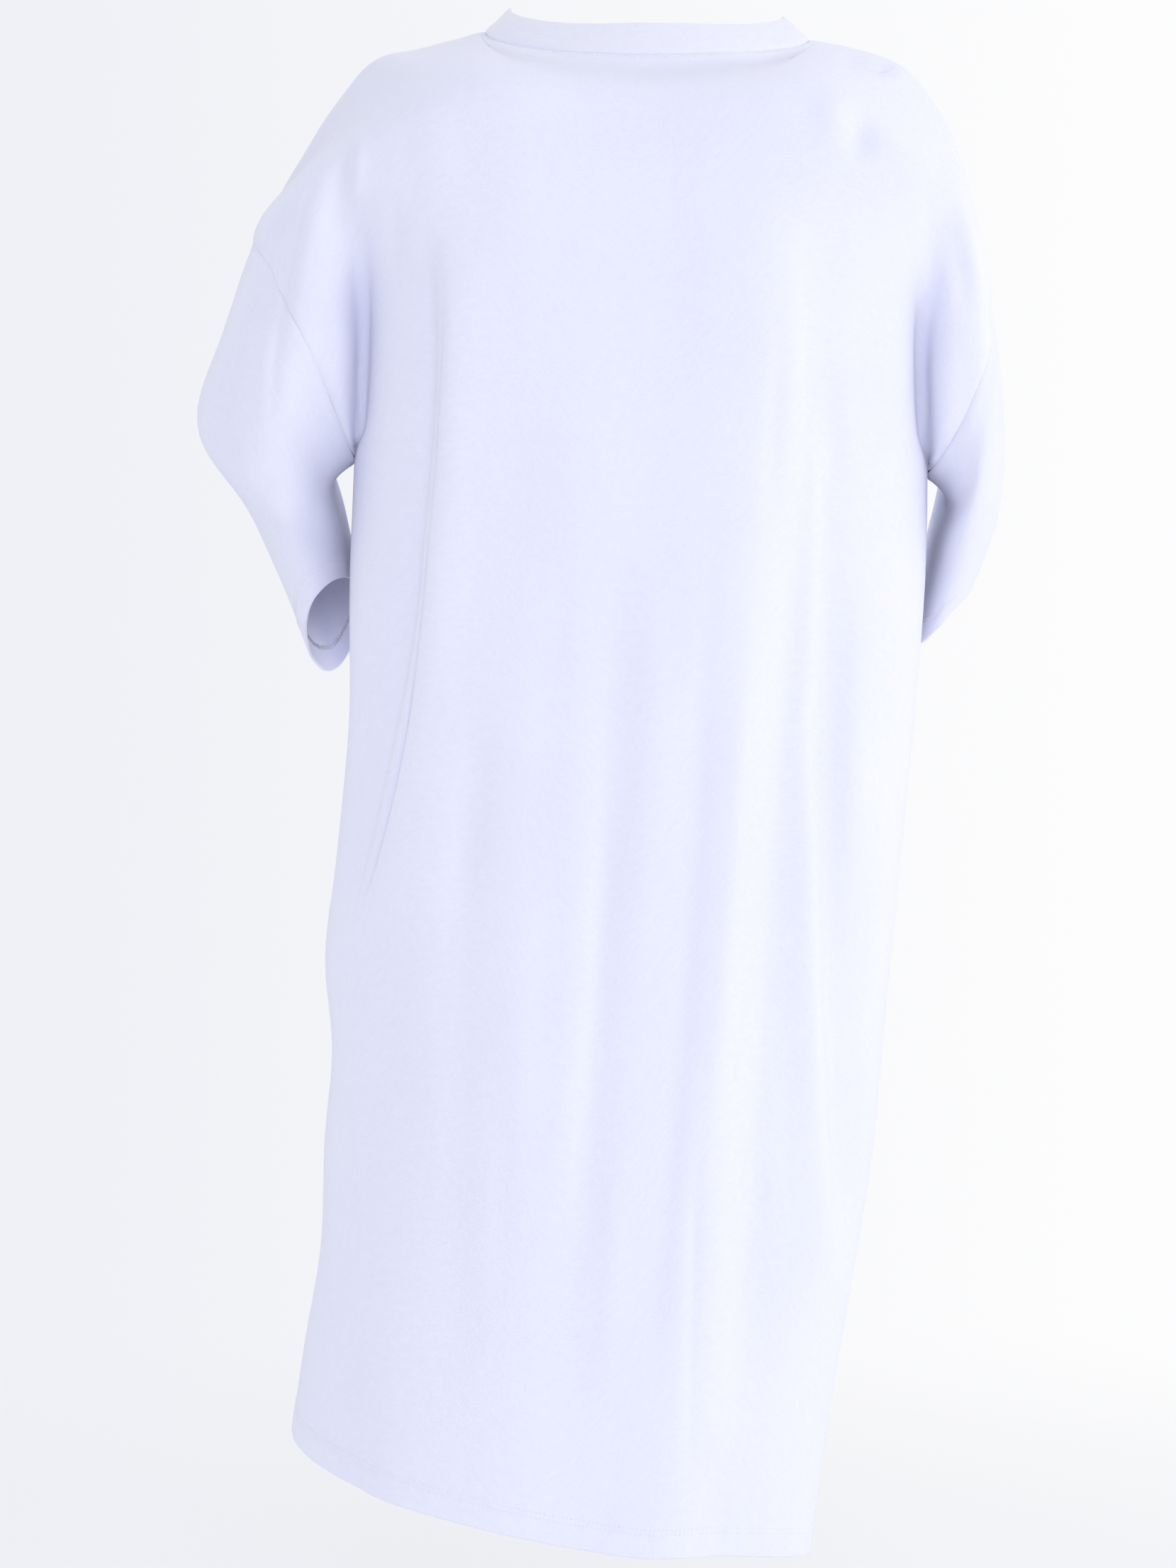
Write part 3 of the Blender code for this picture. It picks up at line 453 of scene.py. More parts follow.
def top_edge(side, face):
    """Neck edge from the panel's middle to the neck corner, then the shoulder seam."""
    corner = vec(SHOULDER_SEAMS[side][0])
    middle = vec(NECK_MIDDLE[face])
    a = np.linspace(0.0, math.pi / 2, 120)
    deep = np.cos(a).clip(0.0)
    parts = (np.sin(a), 1 - deep, 1 - deep ** NECK_POWER[face])
    neck = np.stack([middle[k] + (corner[k] - middle[k]) * part for k, part in enumerate(parts)], 1)
    neck = spaced(neck, NECK_COLUMNS[face])
    return np.concatenate([neck, through(SHOULDER_SEAMS[side], SHOULDER_COLUMNS)[1:]])


def upper_section(side, face, row):
    """One section above the underarm, from the panel's middle to the armhole."""
    r = dict(zip(UPPER_COLUMNS, row))
    sign = SIGN[side]
    edge = armhole(side, face, [r["angle"]])[0]
    middle = vec((0.0, r["middle_y"]))
    count = half_columns(face)
    first = count - ARM_COLUMNS
    # the slot's floor, then the curve up its outer wall and over to the armhole
    dip = vec((sign * r["valley_x"], r["valley_y"]))
    over = dip + vec((sign * min(SLOT, SLOT_SHARE * abs(edge[0] - dip[0])), 0.0))
    wall = vec((sign * WALL_LEAN, (r["arm_y"] - r["valley_y"]) * WALL_PULL))
    pull = vec(((over[0] - edge[0]) * ARM_PULL[0], (r["arm_y"] - edge[1]) * ARM_PULL[1]))
    arm = np.concatenate([dip[None], bezier(over, over + wall, edge[:2] + pull, edge[:2])])
    torso = quarter(middle, dip)
    lengths = [run_along(line)[-1] for line in (torso, arm)]
    share = lengths[0] / sum(lengths)
    sunk = split_spaced(np.concatenate([torso, arm[1:]]), first, ARM_COLUMNS, share)
    plain = split_spaced(quarter(middle, edge[:2]), first, ARM_COLUMNS, share)
    plan = plain + (sunk - plain) * r["valley"]
    u = np.linspace(0.0, 1.0, count + 1)
    drop = ((u - DROP_START) / (1 - DROP_START)).clip(0.0) ** DROP_POWER
    level = r["middle_z"] + (r["shoulder_z"] - r["middle_z"]) * smoothstep(u / LEVEL_REACH)
    return np.column_stack([plan, level + (edge[2] - level) * drop])


def beside_top(face, edge):
    """A line just off the top edge, square to it: out and down at the neck, forward or back
    at the shoulder, and turning from one to the other round the neck corner."""
    first = NECK_COLUMNS[face]
    neck = slice(0, first + 1)
    away = np.zeros_like(edge)
    line = np.gradient(edge[neck, :2], axis=0)
    away[neck, 0] = line[:, 1]
    away[neck, 1] = -line[:, 0]
    away[neck] *= np.sign((away[neck, :2] * edge[neck, :2]).sum(1))[:, None]
    away[neck] /= np.linalg.norm(away[neck], axis=1)[:, None]
    away[0] = (0.0, SIGN[face], 0.0)
    out = np.linspace(0.0, 1.0, first + 1) ** 1.5
    away[neck] *= (TOP_OUT[0] + (TOP_OUT[1] - TOP_OUT[0]) * out)[:, None]
    away[neck, 2] = TOP_DOWN[0] + (TOP_DOWN[1] - TOP_DOWN[0]) * out
    away[first + 1:] = (0.0, SIGN[face], SHOULDER_DOWN)
    half = 2 * (first // 8 + 1)
    low, high = first - half, first + half
    t = smoothstep(np.linspace(0.0, 1.0, high - low + 1))[:, None]
    away[low:high + 1] = away[low] * (1 - t) + away[high] * t
    return edge + away * EDGE_ROW


def body_section(side, face, row, place):
    """One section below the underarm, from the panel's middle to its side seam."""
    r = dict(zip(BODY_COLUMNS, row))
    moved = min(1.0, (BODY_SECTIONS[0][0] - r["z"]) / MIDDLE_SHIFT)
    middle = vec(((r["left_x"] + r["right_x"]) / 2 * moved, r[face + "_y"]))
    end = vec((r[side + "_x"], r[side + "_y"]))
    start = ARM_START[min(place, len(ARM_START) - 1)]
    plan = split_spaced(quarter(middle, end), half_columns(face) - ARM_COLUMNS, ARM_COLUMNS, start)
    across = (plan[:, 0] / r[side + "_x"]).clip(0.0)
    rise = r["left_rise"] * (plan[:, 0] / r["left_x"]).clip(0.0) ** LEFT_RISE_POWER
    if side == "right":
        rise = rise + r["right_rise"] * across ** 2
    if place == 0:
        rise = (ARMHOLES[side]["under"][2] - r["z"]) * across ** 2
    return np.column_stack([plan, r["z"] + rise])


def upper_count():
    return len(UPPER_SECTIONS["back"]) + 1


def upper_levels():
    """Places of the rows above the underarm; whole numbers are sections."""
    return sorted(set(np.arange(upper_count() * UPPER_STEPS + 1) / UPPER_STEPS) | set(NEAR_EDGE))


def hem_levels(last, height):
    """Places of the rows at a hem, from the body down to the edge."""
    return [last - up / height for up in reversed(HEM_ROWS)]


def levels():
    """Places of all the rows of a panel, as numbers along the sections."""
    marks = list(upper_levels())
    upper = upper_count()
    for k in range(len(BODY_SECTIONS) - 1):
        height = BODY_SECTIONS[k][0] - BODY_SECTIONS[k + 1][0]
        steps = max(2, round(height / BODY_ROW))
        marks += [upper + k + i / steps for i in range(1 if k == 0 else 0, steps)]
    last = upper + len(BODY_SECTIONS) - 1
    hem = hem_levels(last, BODY_SECTIONS[-2][0] - BODY_SECTIONS[-1][0])
    return vec([m for m in marks if m < hem[0] - 0.03] + hem)


def half_panel(side, face):
    """Rows by columns of points for half a panel, middle to edge, top to hem."""
    rows = [top_edge(side, face)]
    rows += [upper_section(side, face, row) for row in UPPER_SECTIONS[face]]
    rows += [body_section(side, face, row, place) for place, row in enumerate(BODY_SECTIONS)]
    near = beside_top(face, rows[0])
    before = 2 * rows[0] - near
    before[NECK_COLUMNS[face] + 1:, 2] = near[NECK_COLUMNS[face] + 1:, 2]
    marks = levels()
    knots = [-EDGE_MARK, 0, EDGE_MARK] + list(range(1, len(rows)))
    grid = spline(knots, np.stack([before, rows[0], near] + rows[1:]), marks)
    angles = seam_angles(face)
    above = marks <= len(angles) - 1
    grid[above, -1] = armhole(side, face, spline(np.arange(len(angles)), angles, marks[above]))
    return grid


def near_seam(grid):
    """The same grid with a few more columns beside its last one."""
    inner, edge = grid[:, -2], grid[:, -1]
    extra = [inner + (edge - inner) * (1 - part) for part in reversed(NEAR_SEAM)]
    return np.concatenate([grid[:, :-1], np.stack(extra, 1), grid[:, -1:]], 1)


def panels():
    """Both panels' grids, sharing their points along the side and shoulder seams."""
    halves = {(s, f): half_panel(s, f) for s in ("left", "right") for f in ("back", "front")}
    below = levels() > upper_count()
    for side in ("left", "right"):
        seam = (halves[side, "back"][:, -1] + halves[side, "front"][:, -1]) / 2
        for face in ("back", "front"):
            halves[side, face][below, -1] = seam[below]
    for face in ("back", "front"):
        middle = (halves["left", face][:, 0] + halves["right", face][:, 0]) / 2
        for side in ("left", "right"):
            halves[side, face][:, 0] = middle
    halves = {key: near_seam(half) for key, half in halves.items()}
    return {face: np.concatenate([halves["left", face][:, :0:-1], halves["right", face]], 1)
            for face in ("back", "front")}


def sleeve(side, grids):
    """Rings of points from the armhole to the sleeve's end."""
    marks = vec(upper_levels())
    count = len(marks)
    edge = 0 if side == "left" else -1
    inner = 1 + len(NEAR_SEAM) if side == "left" else -2 - len(NEAR_SEAM)

    def ring(column):
        back, front = grids["back"][:count, column], grids["front"][:count, column]
        return np.concatenate([back, front[-2:0:-1]])

    first, within = ring(edge), ring(inner)
    down = [spline(np.arange(len(seam_angles(f))), seam_angles(f), marks) for f in ("back", "front")]
    turn = np.concatenate([down[0], 360.0 - down[1][-2:0:-1]])
    rows = [first] + [around(section, turn) for section in SLEEVE_SECTIONS[side]]
    last = len(rows) - 1
    hem = hem_levels(last, np.linalg.norm(rows[-1] - rows[-2], axis=1).mean())
    places = sorted(set(np.arange(last * SLEEVE_STEPS) / SLEEVE_STEPS) | {0.015, 0.035})
    places = [m for m in places if m < hem[0] - 0.04] + hem
    # cloth runs on smoothly from the panels, except near the underarm
    reach = np.linalg.norm(rows[1] - rows[0], axis=1) / np.linalg.norm(first - within, axis=1)
    smooth = ((np.abs(turn - 180.0) - SLEEVE_TURN[0]) / SLEEVE_TURN[1]).clip(0.0, 1.0)[:, None]
    before = 2 * first - rows[1] + ((first - within) * -reach[:, None] - (first - rows[1])) * smooth
    return spline(np.arange(-1, len(rows)), np.stack([before] + rows), places)


def neckband(grids):
    """Rings from the neck seam up to the band's folded edge."""
    edges = []
    for face in ("back", "front"):
        middle = grids[face].shape[1] // 2
        reach = NECK_COLUMNS[face]
        edges.append(grids[face][0, middle - reach:middle + reach + 1])
    seam = np.concatenate([edges[0], edges[1][-2:0:-1]])
    out = seam - seam.mean(axis=0)
    out[:, 2] = 0.0
    out /= np.linalg.norm(out, axis=1)[:, None]
    behind = (0.5 + 0.5 * out[:, 1])[:, None]
    beside = np.abs(out[:, :1]) ** 2
    lean = -out * (BAND_IN + BAND_IN_MORE * (1 - behind + beside))
    lean[:, 2:] += BAND_UP - BAND_UP_LESS * beside
    lean /= np.linalg.norm(lean, axis=1)[:, None]
    rise = np.concatenate([[0.0, 0.035, 0.08], np.linspace(0.14, 0.92, 14), [0.965, 1.0]])
    bow = np.sin(rise * math.pi) * BAND_BOW
    return np.stack([seam + lean * BAND_HEIGHT * r + out * b for r, b in zip(rise, bow)])


def lengths(grid, axis):
    """Length along the cloth to each point from the grid's first row, or first column."""
    steps = np.linalg.norm(np.diff(grid, axis=axis), axis=2)
    start = np.zeros_like(steps[:1] if axis == 0 else steps[:, :1])
    return np.concatenate([start, np.cumsum(steps, axis=axis)], axis)


def relaxed(grid, closed):
    """The same grid with its small kinks eased out, away from its seams."""
    out = grid.copy()
    down = lengths(grid, 0)
    hold = np.minimum(down, down[-1] - down)
    if not closed:
        over = lengths(grid, 1)
        hold = np.minimum(hold, np.minimum(over, over[:, -1:] - over))
    hold = (hold / EASE_REACH).clip(0.0, 1.0)[..., None] ** 2
    for _ in range(EASE_TIMES):
        mean = out.copy()
        mean[1:-1] = (out[:-2] + out[2:]) / 2
        if closed:
            mean = (mean + (np.roll(out, 1, axis=1) + np.roll(out, -1, axis=1)) / 2) / 2
        else:
            mean[:, 1:-1] = (mean[:, 1:-1] + (out[:, :-2] + out[:, 2:]) / 2) / 2
        out += (mean - out) * hold * 0.5
    return out


def shared_normals(grids, closed):
    """Unit normals for all the grids, the same on both sides of a seam."""
    places, pushes, shapes = [], [], []
    for name, grid in grids.items():
        g = np.concatenate([grid, grid[:, :1]], 1) if closed[name] else grid
        cross = np.cross(g[1:, 1:] - g[:-1, :-1], g[1:, :-1] - g[:-1, 1:])
        push = np.zeros(g.shape)
        push[:-1, :-1] += cross
        push[1:, :-1] += cross
        push[:-1, 1:] += cross
        push[1:, 1:] += cross
        if closed[name]:
            push[:, 0] += push[:, -1]
            push = push[:, :-1]
        places.append(np.round(grid.reshape(-1, 3) * 1e5).astype(np.int64))
        pushes.append(push.reshape(-1, 3))
        shapes.append(grid.shape)
    keys, spot = np.unique(np.concatenate(places), axis=0, return_inverse=True)
    total = np.zeros((len(keys), 3))
    np.add.at(total, spot.ravel(), np.concatenate(pushes))
    total /= np.linalg.norm(total, axis=1)[:, None].clip(1e-15)
    found = total[spot.ravel()]
    normals, start = {}, 0
    for name, shape in zip(grids, shapes):
        size = shape[0] * shape[1]
        normals[name] = found[start:start + size].reshape(shape)
        start += size
    return normals


def toward(normals, face):
    """How far each point faces back, or front, from 0 to 1."""
    return (normals[..., 1] * SIGN[face]).clip(0.0, 1.0)


def fold_height(points, normals):
    """How far each point moves out along its normal for the largest folds."""
    total = np.zeros(points.shape[:-1])
    z = points[..., 2]
    for face, row in [(face, row) for face, rows in FOLDS.items() for row in rows]:
        fold = {key: vec(value) * MM for key, value in zip(FOLD_COLUMNS, row)}
        top, middle, low = (fold[k] for k in ("top", "middle", "low"))
        t = (top[1] - z) / (top[1] - low[1])
        m = (top[1] - middle[1]) / (top[1] - low[1])
        bend = (middle[0] - (top[0] + (low[0] - top[0]) * m)) / (m * (1 - m))
        off = points[..., 0] - (top[0] + (low[0] - top[0]) * t + bend * t * (1 - t))
        inside = np.minimum(top[1] - z, z - low[1])
        width = np.where(off > 0, fold["plus_w"], fold["minus_w"])
        # a fold that reaches the hem doesn't fade there
        to_hem = float(low[1] <= HEM_FOLD) * (z < HEM_FOLD + HEM_FOLD_REACH)
        ends = smoothstep(inside / fold["fade"] + to_hem)
        total += fold["height"] * np.exp(-(off / width) ** 2) * ends * toward(normals, face) ** 0.7
    return total


def crease_height(points, normals):
    """How far each point moves out along its normal for the finer folds and creases."""
    total = np.zeros(points.shape[:-1])
    flat = points[..., [0, 2]]
    for face, row in [(face, row) for face, rows in CREASES.items() for row in rows]:
        crease = dict(zip(CREASE_COLUMNS, row))
        line = through(vec(crease["line"]) * MM, CREASE_STEPS)
        plus_w, minus_w, height = (crease[k] * MM for k in ("plus_w", "minus_w", "height"))
        spacing = np.linalg.norm(line[1] - line[0])
        along = np.gradient(line, axis=0)
        along /= np.linalg.norm(along, axis=1)[:, None]
        reach = 4.0 * max(plus_w, minus_w)
        near = ((flat > line.min(0) - reach) & (flat < line.max(0) + reach)).all(-1)
        spots = flat[near]
        if not len(spots):
            continue
        apart = spots[:, None] - line[None]
        best = (apart ** 2).sum(-1).argmin(1)
        apart = apart[np.arange(len(best)), best]
        way = along[best]
        place = (best + (apart * way).sum(1) / spacing) / CREASE_STEPS
        off = way[:, 0] * apart[:, 1] - way[:, 1] * apart[:, 0]
        off = np.sqrt((off / np.where(off > 0, plus_w, minus_w)) ** 2 + CREASE_ROUND ** 2) - CREASE_ROUND
        ends = smoothstep(np.minimum(place, 1 - place) / crease["fade"])
        shape = np.exp(-off ** (1.2 + 0.8 * crease["soft"])) * ends
        total[near] += height * shape * toward(normals[near], face) ** 0.6
    return total


def crumple(points):
    """The cloth's own unevenness, longer down the dress than across it."""
    out = np.zeros(points.shape[:-1])
    broad = points / vec(CRUMPLE_BROAD) + CRUMPLE_SEED
    close = points / vec(CRUMPLE_CLOSE) - CRUMPLE_SEED
    for place in np.ndindex(out.shape):
        out[place] = (CRUMPLE_HEIGHTS[0] * noise.noise(Vector(broad[place]))
                      + CRUMPLE_HEIGHTS[1] * noise.noise(Vector(close[place])))
    return out


def distances(grid):
    """Length along the cloth from each point to its top edge, bottom edge and two side edges."""
    down, over = lengths(grid, 0), lengths(grid, 1)
    return {"top": down, "bottom": down[-1] - down, "plus": over, "minus": over[:, -1:] - over}


def seam_height(away, with_allowance):
    """Cloth sinks into a seam, and stands up a little over the allowance behind it."""
    height = -SEAM_DIP * np.exp(-(away / SEAM_DIP_WIDTH) ** 2)
    if with_allowance:
        step = smoothstep(away / 0.0022) * smoothstep((ALLOWANCE + 0.0012 - away) / 0.0018)
        height += ALLOWANCE_RISE * step
    return height


def pucker(points, away):
    """Short waves where a row of stitches draws the cloth up, the same on both sides of a seam."""
    out = np.zeros(away.shape)
    for place in np.ndindex(out.shape):
        if away[place] < PUCKER_REACH * 2.5:
            out[place] = noise.noise(Vector(points[place] / PUCKER_LENGTH))
    return out * SEAM_PUCKER * np.exp(-(away / PUCKER_REACH) ** 2)


def hem_height(up, along, seed):
    """A turned-up hem: two stitched rows draw it in, and its edge stands a little proud."""
    height = HEM_STEP * smoothstep((HEM_TURN - up) / HEM_STEP_WIDTH)
    for row in STITCH_ROWS:
        height -= STITCH_SINK * np.exp(-((up - row) / STITCH_SINK_WIDTH) ** 2)
    waves = np.zeros(up.shape)
    for place in np.ndindex(up.shape):
        if up[place] < 0.045:
            broad = (along[place] / 0.0120, up[place] / 0.040, seed)
            close = (along[place] / 0.0055, up[place] / 0.020, seed + 7.0)
            waves[place] = noise.noise(Vector(broad)) + 0.5 * noise.noise(Vector(close))
    middle = sum(STITCH_ROWS) / 2
    return height + waves * HEM_WAVES * np.exp(-((up - middle) / HEM_WAVES_REACH) ** 2)


def sewn_height(name, grid, closed):
    """How far each point moves for the seams and hems of one piece."""
    away = distances(grid)
    sewn = away["top"] if closed else np.minimum(away["top"], np.minimum(away["plus"], away["minus"]))
    height = seam_height(sewn, name != "front" and name != "neckband")
    height += pucker(grid, sewn)
    if name == "neckband":
        return height
    return height + hem_height(away["bottom"], away["plus"], 2.0 + len(name))


def corner_gap(edge):
    """Half the clear space at a seam, a little more where three pieces meet at the underarm."""
    far = np.min([np.linalg.norm(edge - vec(h["under"]), axis=1) for h in ARMHOLES.values()], axis=0)
    return (SEAM_GAP / 2 + CORNER_GAP * np.exp(-(far / 0.016) ** 2))[:, None]


def drawn_in(grid, closed):
    """The grid with its sewn edges moved in by half the seam gap, square to the seam."""
    out = grid.copy()

    def move(edge, inner):
        line = np.gradient(edge, axis=0)
        line /= np.linalg.norm(line, axis=1)[:, None]
        step = inner - edge
        step -= line * (step * line).sum(1)[:, None]
        return step / np.linalg.norm(step, axis=1)[:, None].clip(1e-9) * corner_gap(edge)

    out[0] += move(grid[0], grid[2])
    if not closed:
        out[:, 0] += move(grid[:, 0], grid[:, 2])
        out[:, -1] += move(grid[:, -1], grid[:, -3])
    return out


def new_piece(name, points, faces, uvs, mat, slot, node=None, sharp=True):
    """A mesh piece that rides with the dress; uvs holds the cloth place of every face corner."""
    mesh = bpy.data.meshes.new(name)
    mesh.from_pydata([tuple(p) for p in points], [], faces)
    mesh.update()
    layer = mesh.uv_layers.new(name="cloth")
    flat = np.concatenate([np.asarray(corner, dtype=float) for corner in uvs]).ravel()
    layer.data.foreach_set("uv", flat)
    mesh.polygons.foreach_set("use_smooth", [True] * len(mesh.polygons))
    if sharp:
        mesh.set_sharp_from_angle(angle=math.radians(60))
    piece = bpy.data.objects.new(name, mesh)
    bpy.context.scene.collection.objects.link(piece)
    mesh.materials.append(mat)
    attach(piece, "root")
    if node:
        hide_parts(node)
    return piece


def cloth_shell(grid, normals, closed, hem_turn, outward, inward):
    """Points, faces and cloth places of a piece: outer face, rounded lower edge, inner face."""
    base = drawn_in(grid, closed)
    rows, cols = grid.shape[:2]
    away = distances(grid)
    turned = 0
    if hem_turn is not None:
        turned = int((away["bottom"][:, cols // 2] <= hem_turn + 1e-5).sum())
    first = rows - turned
    down = base[-1] - base[-2]
    down /= np.linalg.norm(down, axis=1)[:, None]
    layers = [base[i] + normals[i] * outward[i] for i in range(rows)]
    # in a hem the inner face is the turned-up layer, which ends in a step
    back_off = inward.copy()
    back_off[first:] = HEM_LAYER + CLOTH / 2 if turned else 0.0
    radius = (outward[-1] + (back_off if turned else inward)[-1]) / 2
    for a in np.radians(EDGE_ANGLES):
        layers.append(base[-1] + normals[-1] * (outward[-1] - radius + radius * math.cos(a))
                      + down * radius * EDGE_BULGE * math.sin(a))
    inner = [(i, back_off[i]) for i in range(rows - 1, first - 1, -1)]
    if turned:
        inner.append((first, inward[first]))
    inner += [(i, inward[i]) for i in range(first - 1, -1, -1)]
    layers += [base[i] - normals[i] * off for i, off in inner]
    inner_rows = [i for i, off in inner]
    rounds = len(EDGE_ANGLES)
    order = list(range(rows)) + [rows - 1] * rounds + inner_rows
    u, v = away["plus"][order], away["top"][order]
    faces, uvs = [], []
    closing = np.linalg.norm(grid[:, 0] - grid[:, -1], axis=1).mean() if closed else 0.0
    for i in range(len(layers)):
        k = (i + 1) % len(layers)
        for j in range(cols if closed else cols - 1):
            m = (j + 1) % cols
            right = u[i, j] + closing if closed and m == 0 else u[i, m]
            low_right = u[k, j] + closing if closed and m == 0 else u[k, m]
            faces.append((i * cols + j, i * cols + m, k * cols + m, k * cols + j))
            uvs.append(((u[i, j], v[i, j]), (right, v[i, j]), (low_right, v[k, j]), (u[k, j], v[k, j])))
    if not closed:
        # the two cut edges at the side seams
        inner_at = {}
        for spot, i in enumerate(inner_rows):
            inner_at.setdefault(i, rows + rounds + spot)
        for j in (0, cols - 1):
            for i in range(rows - 1):
                corners = [i, i + 1, inner_at[i + 1], inner_at[i]]
                if j == 0:
                    corners.reverse()
                faces.append(tuple(c * cols + j for c in reversed(corners)))
                uvs.append(((0.0, 0.0),) * 4)
    return np.concatenate(layers), faces, uvs


def line_at(grid, normals, edge, drop):
    """The line on a piece a given length in from its top or bottom edge, and its normals."""
    away = distances(grid)[edge]
    if edge == "bottom":
        away, grid, normals = away[::-1], grid[::-1], normals[::-1]
    both = np.concatenate([grid, normals], 2)
    line = np.stack([at_lengths(both[:, j], away[:, j], drop) for j in range(grid.shape[1])])
    return line[:, :3], line[:, 3:]


def thread_faces(first, marks, turns):
    """Faces between a thread's rings of points, and their places along it and round it."""
    faces, uvs, sides = [], [], len(turns)
    for ring, (low, high) in enumerate(zip(marks, marks[1:])):
        for side, (here, there) in enumerate(turns):
            a, b = first + ring * sides + side, first + ring * sides + (side + 1) % sides
            faces.append((a, b, b + sides, a + sides))
            uvs.append(((low, here), (low, there), (high, there), (high, here)))
    return faces, uvs


def stitch_run(line, normals, lift, closed, inset=0.006):
    """Points and faces of a row of machine stitches lying along a line on the cloth."""
    if closed:
        line = np.concatenate([line, line[:1]])
        normals = np.concatenate([normals, normals[:1]])
        inset = 0.0
    run = run_along(line)
    room = run[-1] - 2 * inset
    count = int(room / STITCH_PITCH)
    turns = [(k / THREAD_SIDES * THREAD_ROUND, (k + 1) / THREAD_SIDES * THREAD_ROUND)
             for k in range(THREAD_SIDES)]
    points, faces, uvs = [], [], []
    for k in range(count):
        start = inset + (k + 0.5) * room / count
        centre = at_lengths(line, run, [start + a * STITCH_LENGTH for a in STITCH_RINGS])
        out = at_lengths(normals, run, start)
        out /= np.linalg.norm(out)
        way = centre[-1] - centre[0]
        way /= np.linalg.norm(way)
        across = np.cross(way, out)
        more = thread_faces(len(points), [a * STITCH_LENGTH for a in STITCH_RINGS], turns)
        # no two stitches lie or lean quite alike
        slant = STITCH_SLANT * math.sin(k * 2.4)
        sit = lift + STITCH_SHIFT * math.sin(k * 1.7)
        for a, middle in zip(STITCH_RINGS, centre):
            rise = sit + THREAD * (1.0 - (2 * a) ** 2 * STITCH_DIVE)
            wide = THREAD * (1.0 - STITCH_TAPER * abs(2 * a) ** 3)
            for side in range(THREAD_SIDES):
                turn = 2 * math.pi * side / THREAD_SIDES
                points.append(middle + out * (rise + wide * THREAD_FLAT * math.sin(turn))
                              + across * (wide * math.cos(turn) + slant * a * 4))
        faces += more[0]
        uvs += more[1]
    return points, faces, uvs


def looper_run(lines, normals, lift, closed):
    """Points and faces of the looper thread that zigzags inside a twin-needle hem."""
    if closed:
        lines = [np.concatenate([line, line[:1]]) for line in lines]
        normals = np.concatenate([normals, normals[:1]])
    run = run_along(lines[0])
    count = int(run[-1] / (STITCH_PITCH / 2))
    marks = np.linspace(LOOPER_INSET, run[-1] - LOOPER_INSET, count)
    edges = []
    for line in lines:
        own = run_along(line)
        edges.append(at_lengths(line, own, marks / run[-1] * own[-1]))
    out = at_lengths(normals, run, marks)
    out /= np.linalg.norm(out, axis=1)[:, None]
    # from one needle row to the other and a little past both
    part = (0.5 - 0.5 * np.cos(np.arange(count) * math.pi))[:, None] * (1 + 2 * LOOPER_PAST) - LOOPER_PAST
    middle = edges[0] * (1 - part) + edges[1] * part - out * lift
    way = np.gradient(middle, axis=0)
    way /= np.linalg.norm(way, axis=1)[:, None]
    across = np.cross(way, out)
    turns = [2 * math.pi * side / LOOPER_SIDES for side in range(LOOPER_SIDES)]
    points = [middle[k] + (out[k] * math.sin(turn) + across[k] * math.cos(turn)) * LOOPER_THREAD
              for k in range(count) for turn in turns]
    steps = [k * STITCH_PITCH / 2 for k in range(count)]
    faces, uvs = thread_faces(0, steps, [(0.0, THREAD_ROUND / 2)] * LOOPER_SIDES)
    return points, faces, uvs


def joined(runs):
    """Several runs of stitches as one set of points, faces and places."""
    points, faces, uvs = [], [], []
    for more, quads, places in runs:
        first = len(points)
        points += more
        faces += [tuple(first + corner for corner in quad) for quad in quads]
        uvs += places
    return points, faces, uvs


# Materials

WALE = 0.00078           # across one column of the jersey's loops
COURSE = 0.00064         # down one row of them
JERSEY_COLOURS = (0.770, 0.785, 0.965), (0.862, 0.876, 1.0)     # darker yarn with painted shade in the knit's hollows, then lighter yarn and the loops' faces
# the neckband's pair, mixed the same way, with painted shade in its knit's hollows
BAND_COLOURS = (0.785, 0.798, 0.955), (0.880, 0.892, 0.998)
# thread: darker as painted shade in the grooves of its twist, then its own white
THREAD_COLOURS = (0.80, 0.81, 0.88), (0.93, 0.93, 0.96)


def new_group(name, inputs, outputs):
    """An empty shader node group with its named inputs and outputs."""
    group = bpy.data.node_groups.new(name, "ShaderNodeTree")
    for label, kind, value in inputs:
        socket = group.interface.new_socket(name=label, in_out="INPUT", socket_type=kind)
        if value is not None:
            socket.default_value = value
    for label, kind in outputs:
        group.interface.new_socket(name=label, in_out="OUTPUT", socket_type=kind)
    return group, group.nodes.new("NodeGroupInput"), group.nodes.new("NodeGroupOutput")


def feed(tree, socket, value):
    """Give a socket a number, or link it to another socket."""
    if isinstance(value, (int, float)):
        socket.default_value = value
    else:
        tree.links.new(value, socket)


def maths(tree, operation, *values):
    """A Math node; each value is a number or a socket."""
    node = tree.nodes.new("ShaderNodeMath")
    node.operation = operation
    for socket, value in zip(node.inputs, values):
        feed(tree, socket, value)
    return node.outputs[0]


def summed(tree, start, *terms):
    """A number and some sockets added up, each socket times its own factor."""
    for value, factor in terms:
        start = maths(tree, "MULTIPLY_ADD", value, factor, start)
    return start


def eased(tree, value, start, end, low=0.0, high=1.0):
    """Runs smoothly from low to high as value goes from start to end."""
    node = tree.nodes.new("ShaderNodeMapRange")
    node.interpolation_type = "SMOOTHSTEP"
    given = {"Value": value, "From Min": start, "From Max": end, "To Min": low, "To Max": high}
    for name, setting in given.items():
        feed(tree, node.inputs[name], setting)
    return node.outputs[0]


def split(tree, vector):
    node = tree.nodes.new("ShaderNodeSeparateXYZ")
    tree.links.new(vector, node.inputs[0])
    return node.outputs


def joined_vector(tree, x, y):
    node = tree.nodes.new("ShaderNodeCombineXYZ")
    feed(tree, node.inputs[0], x)
    feed(tree, node.inputs[1], y)
    return node.outputs[0]


